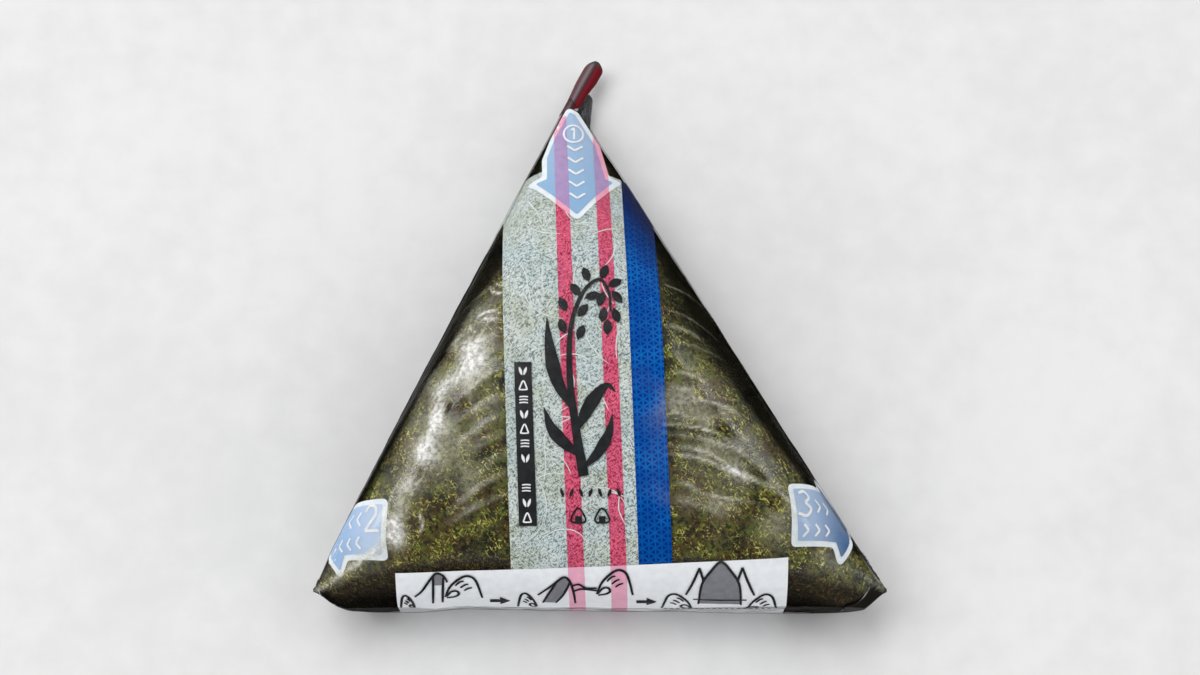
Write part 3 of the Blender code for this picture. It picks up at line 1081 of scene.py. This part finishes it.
def corners(outline):
    """Each corner with the run that leads to it and the run that goes on from it."""
    points = [np.array(point, float) for point in outline]
    for index, corner in enumerate(points):
        yield corner, corner - points[index - 1], points[(index + 1) % len(points)] - corner


def rounded(outline, radius):
    """The outline with each corner turned into an arc."""
    result = []
    for corner, come, go in corners(outline):
        come_length, go_length = np.linalg.norm(come), np.linalg.norm(go)
        a, b = -come / come_length, go / go_length
        half = math.acos(float(np.clip(a @ b, -1, 1))) / 2
        cut = min(radius / math.tan(half), 0.45 * min(come_length, go_length))
        start, end = corner + a * cut, corner + b * cut
        for t in np.arange(ARC_STEPS + 1) / ARC_STEPS:
            result.append(tuple((1 - t) ** 2 * start + 2 * t * (1 - t) * corner + t * t * end))
    return result


def drawn_in(outline, distance):
    """The outline moved inwards by a distance; its points run anticlockwise."""
    result = []
    for corner, come, go in corners(outline):
        inward = [np.array([-run[1], run[0]]) / np.linalg.norm(run) for run in (come, go)]
        shift = (inward[0] + inward[1]) * distance / (1 + float(inward[0] @ inward[1]))
        result.append(tuple(corner + shift))
    return result


print("points of a rounded square:",
      len(rounded([(0.0, 0.0), (2.0, 0.0), (2.0, 2.0), (0.0, 2.0)], 0.5)))

# %% Dropping flat shapes onto the film
DROP_HEIGHT = 60.0


def frame_of(direction):
    """Right, up and outward axes of the flat drawing for a direction."""
    out = Vector(direction).normalized()
    right = Vector((0.0, 1.0, 0.0)).cross(out).normalized()
    return right, out.cross(right), out


def lay_on_film(name, shapes, where, depth, finish):
    """Drop flat shapes onto the film and make them one piece."""
    origin, direction = where
    right, up, out = frame_of(direction)
    all_points, all_faces = [], []
    for flat, faces in shapes:
        shift = len(all_points)
        for u, v in flat:
            start = Vector(origin) + right * u + up * v + out * DROP_HEIGHT
            place, normal = film_tree.ray_cast(start, -out)[:2]
            if place is None:
                place, normal = film_tree.find_nearest(start - out * DROP_HEIGHT)[:2]
            all_points.append(tuple(place - normal * (depth * float(thinned(normal.z)))))
        all_faces.extend([[corner + shift for corner in face] for face in faces])
    return new_piece(name, all_points, all_faces, finish)


print("front faces the direction", [round(value, 2) for value in frame_of(FRONT[1])[2]])

# %% [markdown]
# ## Brush work, bar and small marks
#
# The middle of the band carries a brush drawing of an ear of rice with its leaves. A dark bar
# beside it holds a row of plain marks, and a row of grains and two rice balls lie under it.
# Each stroke is a ribbon that swells and tapers as a loaded brush does.

# %% Brush work
black_ink = plain_ink("brush_black", ink(30, 31, 33), ink(40, 41, 43), 0.5)
white_ink = plain_ink("mark_white", ink(236, 238, 240), ink(226, 229, 232), 0.5)
STEM = [(-3.0, -33.2), (-4.4, -25.0), (-5.6, -15.0), (-5.4, -5.5), (-3.2, 1.0), (-0.2, 3.6),
        (1.6, 1.2), (2.0, -2.6)]
# The stem and each leaf: its points and its widths.
BRUSHED = [(STEM, [1.9, 1.6, 1.3, 1.0, 0.8, 0.65, 0.45]),
           ([(-4.9, -21.5), (-8.0, -15.5), (-9.4, -9.0), (-9.9, -3.6)], [0.4, 2.0, 2.7, 1.6, 0.1]),
           ([(-4.3, -25.0), (-1.6, -19.8), (1.2, -16.6), (2.9, -17.8)], [0.4, 2.2, 2.6, 1.4, 0.1]),
           ([(-3.6, -29.6), (-6.6, -27.2), (-9.0, -24.4), (-10.4, -20.6)],
            [0.4, 1.9, 2.4, 1.4, 0.1]),
           ([(-3.2, -31.8), (-0.4, -29.0), (1.6, -25.4), (2.3, -21.8)], [0.4, 1.7, 2.2, 1.3, 0.1])]
# Each grain's place and turn.
GRAINS = [(-4.6, 1.6, 2.2), (-2.6, 4.6, 1.9), (-1.4, 0.4, 0.3), (0.8, 5.2, 1.2), (2.8, 3.0, 0.5),
          (0.2, -0.2, 1.2), (3.2, 0.2, -0.9), (0.6, -3.2, 1.4), (3.0, -3.4, -1.2), (1.4, -5.6, 1.55),
          (-6.9, -1.2, 2.0), (-3.2, -2.4, 0.9), (-7.0, -5.4, 1.9), (-3.6, -6.6, 1.2)]


def grain_mark(x, y, length, width, turn):
    """One grain: a short stroke, fat in the middle."""
    dx, dy = math.cos(turn) * length / 2, math.sin(turn) * length / 2
    widths = [0.08, width * 0.85, width, width * 0.85, 0.08]
    return stroke([(x - dx, y - dy), (x, y), (x + dx, y + dy)], widths, 0.3)


sprig = [stroke(points, widths) for points, widths in BRUSHED]
sprig += [grain_mark(x, y, 3.0, 1.65, turn) for x, y, turn in GRAINS]
lay_on_film("brush_sprig", sprig, FRONT, 0.08, black_ink)
print("brush strokes:", len(sprig))

# %% Bar and its marks
BAR = [(-15.94, -12.2), (-14.95, -42.15), (-11.63, -42.15), (-12.75, -12.2)]
MARK_PLACES = 11
EMPTY_PLACE = 7
MARK_PITCH = 2.68

lay_on_film("mark_bar", [cut_shape(BAR)], FRONT, 0.14, black_ink)
marks = []
for index in range(MARK_PLACES):
    if index == EMPTY_PLACE:
        continue
    y = -13.9 - MARK_PITCH * index
    x = -14.36 - 0.033 * (y + 12.2)
    bows = []
    if index % 3 == 0:
        marks += [grain_mark(x - 0.42, y, 1.6, 0.55, 1.9), grain_mark(x + 0.42, y, 1.6, 0.55, 1.25)]
    elif index % 3 == 1:
        bows = [(0.75, y - 0.7, y + 0.85, [0.28, 0.3, 0.28]), (0.8, y - 0.75, y - 0.8, [0.26] * 2)]
    else:
        bows = [(0.8, y + step, y + step + 0.08, [0.24] * 2) for step in (-0.55, 0.0, 0.55)]
    for half, ends, middle, widths in bows:
        marks.append(stroke([(x - half, ends), (x, middle), (x + half, ends)], widths, 0.4))
lay_on_film("bar_marks", marks, FRONT, 0.06, white_ink)
print("strokes in the bar:", len(marks))

# %% Row of grains and two rice balls
small = [grain_mark(-7.0 + 1.75 * index, -36.2, 1.7, 0.62, 1.2 if index % 2 else 1.9)
         for index in range(7)]
for x in (-4.0, 0.4):
    ball = rounded([(x - 1.8, -41.6), (x + 1.8, -41.6), (x, -38.4)], 0.8)
    wrap = [(x - 0.6, -41.5), (x + 0.6, -41.5), (x + 0.6, -40.4), (x - 0.6, -40.4)]
    small += [stroke([*ball, ball[0], ball[1]], [0.34, 0.34], 0.3), cut_shape(wrap, 0.4)]
lay_on_film("small_marks", small, FRONT, 0.08, black_ink)
print("small marks:", len(small))

# %% [markdown]
# ## Long white fibres
#
# A few long fibres curl over paper and stripes alike. They are thin ribbons with random bends.

# %% White fibres
fibre_white = plain_ink("fibre_white", ink(226, 232, 230), ink(208, 216, 214))
FIBRE_COUNT = 46
FIBRE_STEP = 1.5

fibres = []
for _ in range(FIBRE_COUNT):
    x = rng.uniform(-16.5, 3.8)
    y = rng.uniform(-46.0, 20.0)
    heading = rng.uniform(0.0, 2 * math.pi)
    bend = rng.uniform(-0.35, 0.35)
    line = [(x, y)]
    for _ in range(int(rng.integers(3, 8))):
        heading += bend + rng.uniform(-0.15, 0.15)
        line.append((line[-1][0] + FIBRE_STEP * math.cos(heading),
                     line[-1][1] + FIBRE_STEP * math.sin(heading)))
    inner = [(px, py) for px, py in line
             if -18.0 - 0.0336 * py + 0.4 < px < 5.27 - 0.0394 * py - 0.4 and -48.0 < py < 24.0]
    if len(inner) > 2:
        fibres.append(stroke(inner, [0.1, 0.2, 0.2, 0.1], 0.45))
lay_on_film("paper_fibres", fibres, FRONT, 0.26, fibre_white)
print("fibres:", len(fibres))

# %% [markdown]
# ## Pull arrows
#
# Three pale blue arrows with white rims show where to pull: one down from the apex, one
# outwards at each ear, wrapping round the side. Plain numbers mark their order.

# %% Arrow finishes


def arrow_finish(side, light, far_colour, low, high, axis):
    """Pale blue print whose colour changes along one axis of the pack, in millimetres."""
    finish, tree, at = start_material("arrow_blue_" + side)
    run = at.parts()[axis].rise(low, high)
    lay = at.grain(1.2, 3.0) * 0.16 - 0.08
    return end_material(finish, tree.surface((run + lay).blend(light, far_colour), 0.45, 0.2))


arrow_rim = plain_ink("arrow_rim", ink(232, 238, 242), ink(222, 230, 236))
# Painted shade: the side arrows darken towards the silhouette. The top arrow pales towards the apex.
top_blue = arrow_finish("top", ink(136, 174, 209), ink(160, 184, 215), 18.0, 44.0, 1)
left_blue = arrow_finish("left", ink(150, 182, 220), ink(190, 208, 232), -49.0, -40.0, 0)
right_blue = arrow_finish("right", ink(160, 183, 214), ink(48, 92, 138), 38.0, 47.5, 0)
print("finishes so far:", len(bpy.data.materials))

# %% Arrows
RIM = 1.0
ARROW_CELL = 0.4
TOP_ARROW = [(-4.24, 16.33), (4.6, 27.9), (1.9, 28.2), (0.0, 36.0), (-4.2, 43.2), (-6.5, 44.3),
             (-10.0, 36.5), (-11.4, 32.0), (-11.3, 27.3), (-14.6, 26.4)]
LEFT_ARROW = [(8.6, 4.6), (-2.1, 5.0), (-2.6, 8.2), (-10.6, -0.4), (-3.2, -9.6), (-1.2, -6.1),
              (7.0, -6.4)]
RIGHT_ARROW = [(-10.3, 8.1), (-8.7, -3.1), (-0.8, -3.4), (1.1, -7.0), (8.6, 2.8), (1.6, 12.6),
               (-0.2, 9.3)]
LEFT_SPOT = ((-44.0, -42.0, 17.0), (-0.55, 0.12, 0.75))
RIGHT_SPOT = ((44.0, -42.0, 20.0), (0.6, 0.2, 0.75))
ARROWS = [("top", TOP_ARROW, FRONT, top_blue), ("left", LEFT_ARROW, LEFT_SPOT, left_blue),
          ("right", RIGHT_ARROW, RIGHT_SPOT, right_blue)]
for side, outline, where, blue in ARROWS:
    rim = cut_shape(rounded(outline, 1.2), ARROW_CELL)
    field = cut_shape(rounded(drawn_in(outline, RIM), 0.4), ARROW_CELL)
    lay_on_film("arrow_rim_" + side, [rim], where, 0.23, arrow_rim)
    lay_on_film("arrow_field_" + side, [field], where, 0.15, blue)
print("arrows laid:", len(ARROWS))

# %% [markdown]
# ## Stripes through the top arrow
#
# The arrow's ink is thin, so the two pink stripes shine through it: rose under the white rim
# and purple under the blue. Each is the overlap of a stripe with the arrow's outline.

# %% Stripes through the top arrow
purple = plain_ink("stripe_under_arrow", ink(172, 147, 190), ink(163, 138, 185))
rose = plain_ink("stripe_under_rim", ink(236, 168, 190), ink(230, 158, 182))


def stripe_outline(stripe, low, high):
    """A lengthwise stripe between two heights in the plan."""
    (left, left_slope), (right, right_slope) = stripe
    return [(left + left_slope * low, low), (right + right_slope * low, low),
            (right + right_slope * high, high), (left + left_slope * high, high)]


def crossing(first, second):
    """The overlap of a convex outline with another: cut by each edge of the first in turn."""
    result = [tuple(point) for point in second]
    for index, (bx, by) in enumerate(first):
        ax, ay = first[index - 1]
        sides = [(bx - ax) * (y - ay) - (by - ay) * (x - ax) for x, y in result]
        kept = []
        for spot, after in enumerate(result):
            before = result[spot - 1]
            if (sides[spot - 1] >= 0) != (sides[spot] >= 0):
                share = sides[spot - 1] / (sides[spot - 1] - sides[spot])
                kept.append(tuple(p + (q - p) * share for p, q in zip(before, after)))
            if sides[spot] >= 0:
                kept.append(after)
        result = kept
    return result


for side, stripe in (("left", PINK_ONE), ("right", PINK_TWO)):
    strip = stripe_outline(stripe, 10.0, 42.0)
    under_rim = cut_shape(crossing(strip, TOP_ARROW))
    under_blue = cut_shape(crossing(strip, drawn_in(TOP_ARROW, RIM)))
    lay_on_film("arrow_rose_" + side, [under_rim], FRONT, 0.19, rose)
    lay_on_film("arrow_purple_" + side, [under_blue], FRONT, 0.11, purple)
print("stripe pieces:", len(under_rim[1]), "and", len(under_blue[1]), "faces on the right")

# %% [markdown]
# ## Numbers and chevrons
#
# A thin white number on each arrow gives the order of the steps, and small open arrow heads
# after it give the direction to pull. Both are narrow strokes.

# %% Numbers and chevrons
DIGITS = {1: [[(-0.5, 1.0), (0.1, 1.6), (0.15, -1.6)]],
          2: [[(-0.9, 0.9), (-0.3, 1.6), (0.6, 1.4), (0.7, 0.5), (-0.2, -0.6), (-0.9, -1.5)],
              [(-0.95, -1.5), (0.0, -1.5), (0.95, -1.5)]],
          3: [[(-0.8, 1.3), (0.1, 1.6), (0.8, 0.9), (0.1, 0.15)],
              [(0.1, 0.15), (0.9, -0.6), (0.2, -1.5), (-0.9, -1.2)]]}
RING_CENTRE = (-5.2, 37.4)
# Each chevron's place and size.
TOP_CHEVRONS = [(-4.9 + 0.14 * step, 33.2 - 2.9 * step, 1.5) for step in range(5)]
LEFT_CHEVRONS = [(1.4, 1.2, 1.3), (-1.0, 1.0, 1.3), (1.4, -3.2, 1.1), (-0.8, -3.3, 1.1),
                 (-3.0, -3.4, 1.1)]
RIGHT_CHEVRONS = [(-3.0, 4.3, 1.3), (-0.6, 4.1, 1.3), (-6.2, -0.4, 1.1), (-4.0, -0.4, 1.1),
                  (-1.8, -0.4, 1.1)]


def digit(number, x, y, size):
    """A plain number drawn with a thin line."""
    return [stroke([(x + size * px, y + size * py) for px, py in line], [0.3 * size + 0.12] * 2, 0.35)
            for line in DIGITS[number]]


def chevron(x, y, size, turn):
    """An open arrow head that points along turn."""
    tips = []
    for side in (1, 0, -1):
        back = -abs(side) * 0.8 * size
        tips.append((x + back * math.cos(turn) - side * size * math.sin(turn),
                     y + back * math.sin(turn) + side * size * math.cos(turn)))
    return [stroke(tips[:2], [0.44, 0.44], 0.4), stroke(tips[1:], [0.44, 0.44], 0.4)]


ring = stroke([(RING_CENTRE[0] + 1.9 * math.cos(turn), RING_CENTRE[1] + 2.1 * math.sin(turn))
               for turn in np.linspace(0.0, 2 * math.pi, 17)], [0.4, 0.4], 0.4)
for side, where, marks, places, turn in [
        ("top", FRONT, [ring, *digit(1, *RING_CENTRE, 0.85)], TOP_CHEVRONS, -math.pi / 2),
        ("left", LEFT_SPOT, digit(2, 5.0, 1.1, 1.5), LEFT_CHEVRONS, math.pi),
        ("right", RIGHT_SPOT, digit(3, -6.9, 4.5, 1.5), RIGHT_CHEVRONS, 0.0)]:
    for place in places:
        marks += chevron(*place, turn)
    lay_on_film("arrow_number_" + side, marks, where, 0.05, white_ink)
    print("strokes on the", side, "arrow:", len(marks))

# %% [markdown]
# ## Opening steps on the base panel
#
# Three small line drawings show the film being opened: a pack with its tear strip, the strip
# pulled over, and the bare rice ball between its two film halves. They are drawn with mitten
# hands and plain arrows, straight on the folded panel.

# %% Lines and hands
PANEL_SPOT = ((0.0, -50.0, 20.0), (0.0, -0.75, 0.66))
LINE = 0.5
THIN_LINE = LINE * 0.8
line_black = plain_ink("line_black", ink(24, 25, 28), ink(34, 35, 38), 0.5)
grey_fill = plain_ink("grey_fill", ink(132, 132, 140), ink(124, 124, 132), 0.5)


def line_of(points, width=LINE):
    """A thin line of even weight."""
    return stroke(points, [width * 0.8, width, width, width * 0.8], 0.4)


HAND = [(-2.6, -2.0), (-1.9, -0.3), (-0.6, 1.0), (0.9, 1.7), (2.2, 1.3), (2.9, -0.2), (3.4, -2.2)]
FINGERS = [[(-0.9, 0.1), (-0.2, 0.7), (0.5, 0.9)], [(-0.1, -0.3), (0.6, 0.2), (1.2, 0.4)],
           [(0.5, -0.8), (1.1, -0.4), (1.8, -0.2)]]
THUMB = [(-2.4, -1.9), (-1.6, -1.0), (-0.7, -0.9), (-0.4, -1.5), (-1.1, -2.0), (-2.4, -2.2)]


def mitten(x, y, wide, tall, flip):
    """A closed hand seen from the side, as outline strokes."""
    def placed(points):
        return [(x + flip * wide * px, y + tall * py) for px, py in points]

    outer = [line_of(placed(HAND)), line_of(placed(THUMB))]
    return outer + [line_of(placed(finger), THIN_LINE) for finger in FINGERS]


print("strokes in a hand:", len(mitten(0.0, 0.0, 1.0, 1.0, 1)))

# %% Step drawings
STEP_LINES = [
    [(-34.6, -5.0), (-33.2, -3.4), (-31.6, -0.6), (-30.4, 0.9), (-29.1, 0.3), (-28.4, -1.2)],
    [(-31.0, 0.2), (-31.1, -3.4), (-31.3, -7.4)], [(-29.1, -0.1), (-29.3, -3.4), (-29.5, -7.2)],
    [(-11.6, -4.4), (-8.9, -1.6), (-6.8, 0.4), (-5.6, -0.6), (-4.9, -3.6), (-4.6, -7.2)],
    [(-10.7, -7.1), (-9.6, -4.0), (-8.2, -1.0)], [(-8.3, -7.1), (-6.7, -3.8), (-5.6, -0.8)],
    [(-5.1, -1.6), (-3.9, -1.3), (-2.6, -2.2), (-0.6, -2.2)],
    [(-4.9, -3.1), (-3.4, -2.5), (-0.6, -2.9)],
    [(18.4, -7.4), (18.9, -1.6), (20.6, 1.6), (22.4, 3.3), (24.2, 1.6), (25.9, -1.6), (26.4, -7.4)],
    [(16.0, -4.3), (17.2, -1.2), (18.4, 2.2)], [(18.4, 2.2), (19.0, 0.2), (19.2, -0.8)],
    [(28.8, -4.3), (27.6, -1.2), (26.4, 2.2)], [(26.4, 2.2), (25.8, 0.2), (25.6, -0.8)]]
STEP_FILLS = [
    [(-31.1, -2.0), (-29.2, -2.0), (-29.1, 0.0), (-30.4, 0.9), (-31.0, 0.2)],
    [(-10.6, -7.0), (-8.4, -7.0), (-5.7, -0.6), (-6.7, 0.3), (-8.3, -1.2)],
    [(18.4, -7.2), (26.4, -7.2), (25.9, -1.6), (24.2, 1.6), (22.4, 3.2), (20.6, 1.6), (18.9, -1.6)]]
# Each hand's place, width, height and side.
MITTENS = [(-25.9, -2.3, 1.15, 1.5, 1), (-35.9, -6.6, 0.45, 1.2, -1), (2.3, -0.7, 1.12, 1.6, 1),
           (-13.4, -6.3, 0.6, 1.4, -1), (14.8, -6.6, 0.95, 1.5, -1), (30.0, -6.6, 0.95, 1.5, 1)]
TURN_ARROWS = (-20.6, 6.8)
DASH_ROW = np.arange(12.0, 32.0, 1.15)

lines = [line_of(points) for points in STEP_LINES]
lines.append(line_of([(17.4, -5.7), (22.4, -5.9), (27.4, -5.7)], THIN_LINE))
for facts in MITTENS:
    lines += mitten(*facts)
for x in TURN_ARROWS:
    lines.append(stroke([(x, -6.6), (x + 1.0, -6.6), (x + 2.1, -6.6)], [1.1, 1.1], 0.4))
    lines.append(stroke([(x + 1.9, -6.6), (x + 2.8, -6.6), (x + 3.8, -6.6)], [2.9, 1.6, 0.05], 0.4))
for x in DASH_ROW:
    lines.append(stroke([(x, -10.3), (x + 0.35, -10.2), (x + 0.7, -10.3)], [0.5, 0.5], 0.35))
fills = [cut_shape(outline) for outline in STEP_FILLS]
lay_on_film("step_fills", fills, PANEL_SPOT, 0.13, grey_fill)
lay_on_film("step_lines", lines, PANEL_SPOT, 0.06, line_black)
print("step lines:", len(lines), "fills:", len(fills))

# %% [markdown]
# ## Tear tab and tongue
#
# The tear strip ends in a curled tab: thin film with two red edges. Beside it a tongue of the
# clear back film slips out. Both are thin curled sheets on the CAD strips' places, in the same
# arcs that the CAD uses.

# %% Places on the two strips
FILM_GAUGE = 0.12
ROWS = 40
COLUMNS = 28
Y_SHIFT = -55.06
TAB = dict(begin=-0.36, root=(-4.6, 102.3), slant=1.3, length=8.9, start=3.0, width=3.8,
           grow=0.45, end=0.78, lean=27.0, curl=70.0, low=6.0, high=4.6)
TONGUE = dict(begin=0.0, root=(-4.9, 91.0), slant=0.0, length=13.0, start=4.6, width=2.2,
              grow=1.0, end=0.9, lean=11.0, curl=16.0, low=1.9, high=3.3)
END_SHARE = 0.3


def strip_point(strip, along, across, sink):
    """A point on a curled strip, in from its outer face by sink."""
    grown = min(1.0, max(0.0, along / strip["grow"]))
    width = strip["start"] + (strip["width"] - strip["start"]) * grown
    beyond = max(along - strip["end"], 0.0) / (1 - strip["end"])
    half = width / 2 * max(math.sqrt(max(0.0, 1 - beyond * beyond)), END_SHARE)
    curl = math.radians(strip["curl"])
    lean = math.radians(strip["lean"])
    radius = half / math.sin(curl)
    angle = across * curl
    sideways = (radius - sink) * math.sin(angle)
    sag = radius - (radius - sink) * math.cos(angle)
    reach = along * strip["length"] + (1 - along) * across * strip["slant"]
    x = strip["root"][0] + reach * math.sin(lean) + sideways * math.cos(lean)
    y = strip["root"][1] + reach * math.cos(lean) - sideways * math.sin(lean)
    height = strip["low"] + (strip["high"] - strip["low"]) * along
    return (x, y + Y_SHIFT, height - sag)


print("root of the tab:", [round(value, 2) for value in strip_point(TAB, 0.0, 0.0, 0.0)])

# %% Closed sheets


def strip_sheet(name, strip, finish):
    """A thin closed sheet on a strip's place, with its across share kept for the finish."""
    points, shares, faces = [], [], []
    for sink in (0.0, FILM_GAUGE):
        for row in range(ROWS + 1):
            for column in range(COLUMNS + 1):
                across = 2 * column / COLUMNS - 1
                along = strip["begin"] + (1 - strip["begin"]) * row / ROWS
                points.append(strip_point(strip, along, across, sink))
                shares.append((across, along))
    layer = (ROWS + 1) * (COLUMNS + 1)

    def spot(side, row, column):
        return side * layer + row * (COLUMNS + 1) + column

    def rim(one, two):
        faces.append([spot(0, *one), spot(0, *two), spot(1, *two), spot(1, *one)])

    for row in range(ROWS):
        for column in range(COLUMNS):
            top = [spot(0, row, column), spot(0, row, column + 1),
                   spot(0, row + 1, column + 1), spot(0, row + 1, column)]
            faces.append(top)
            faces.append([layer + corner for corner in reversed(top)])
    for row in range(ROWS):
        rim((row, 0), (row + 1, 0))
        rim((row + 1, COLUMNS), (row, COLUMNS))
    for column in range(COLUMNS):
        rim((0, column + 1), (0, column))
        rim((ROWS, column), (ROWS, column + 1))
    piece = new_piece(name, points, faces, finish)
    add_values(piece, "across", [share[0] for share in shares])
    add_values(piece, "along", [share[1] for share in shares])
    return piece


print("rows and columns of a sheet:", ROWS, COLUMNS)

# %% Tab
# The tab's colours from one edge to the other: red, grey film, red. The light grey line in
# the film is a painted highlight, and the dark pink next to the first red is painted shade.
TAB_PRINT_AND_LIGHT_STOPS = [(0.0, ink(112, 12, 30)), (0.10, ink(98, 44, 54)), (0.22, ink(84, 64, 69)),
             (0.38, ink(130, 111, 116)), (0.48, ink(72, 63, 66)), (0.55, ink(56, 42, 46)),
             (0.61, ink(122, 4, 24)), (1.0, ink(84, 2, 14))]

finish, tree, at = start_material("tear_tab_film")
spread = tree.kept("across") * 0.5 + 0.5
# Red print and grey film, with a painted highlight line and a painted shade edge.
tab_print_and_light = tree.node("ShaderNodeValToRGB", {"stops": TAB_PRINT_AND_LIGHT_STOPS}, {0: spread})
tab_print_and_light = tree.kept("along").rise(0.86, 0.97).blend(tab_print_and_light, ink(58, 62, 58))
dust = at.grain(0.8, 3.0) * 0.14
tab_finish = end_material(finish, tree.surface(dust.blend(tab_print_and_light, ink(40, 20, 26)), 0.3, 0.1))
tab = strip_sheet("tear_tab_sheet", TAB, tab_finish)
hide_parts("tear_tab")
print("tab faces:", len(tab.data.polygons))

# %% Tongue
TONGUE_SOLID = 0.7

finish, tree, at = start_material("tongue_film")
streaks = at.grain(1.0, 3.0, (0.5, 3.0, 1.0), -0.2).rise(0.4, 0.65)
grey = tree.surface(streaks.blend(ink(62, 63, 65), ink(98, 99, 101)), 0.25)
see = tree.node("ShaderNodeBsdfTransparent", values={"Color": (0.7, 0.7, 0.7, 1.0)})
tongue_finish = end_material(finish, tree.node("ShaderNodeMixShader", values={
    0: TONGUE_SOLID, 1: see, 2: grey}))
tongue = strip_sheet("tongue_sheet", TONGUE, tongue_finish)
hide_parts("film_tongue")
print("tongue faces:", len(tongue.data.polygons))
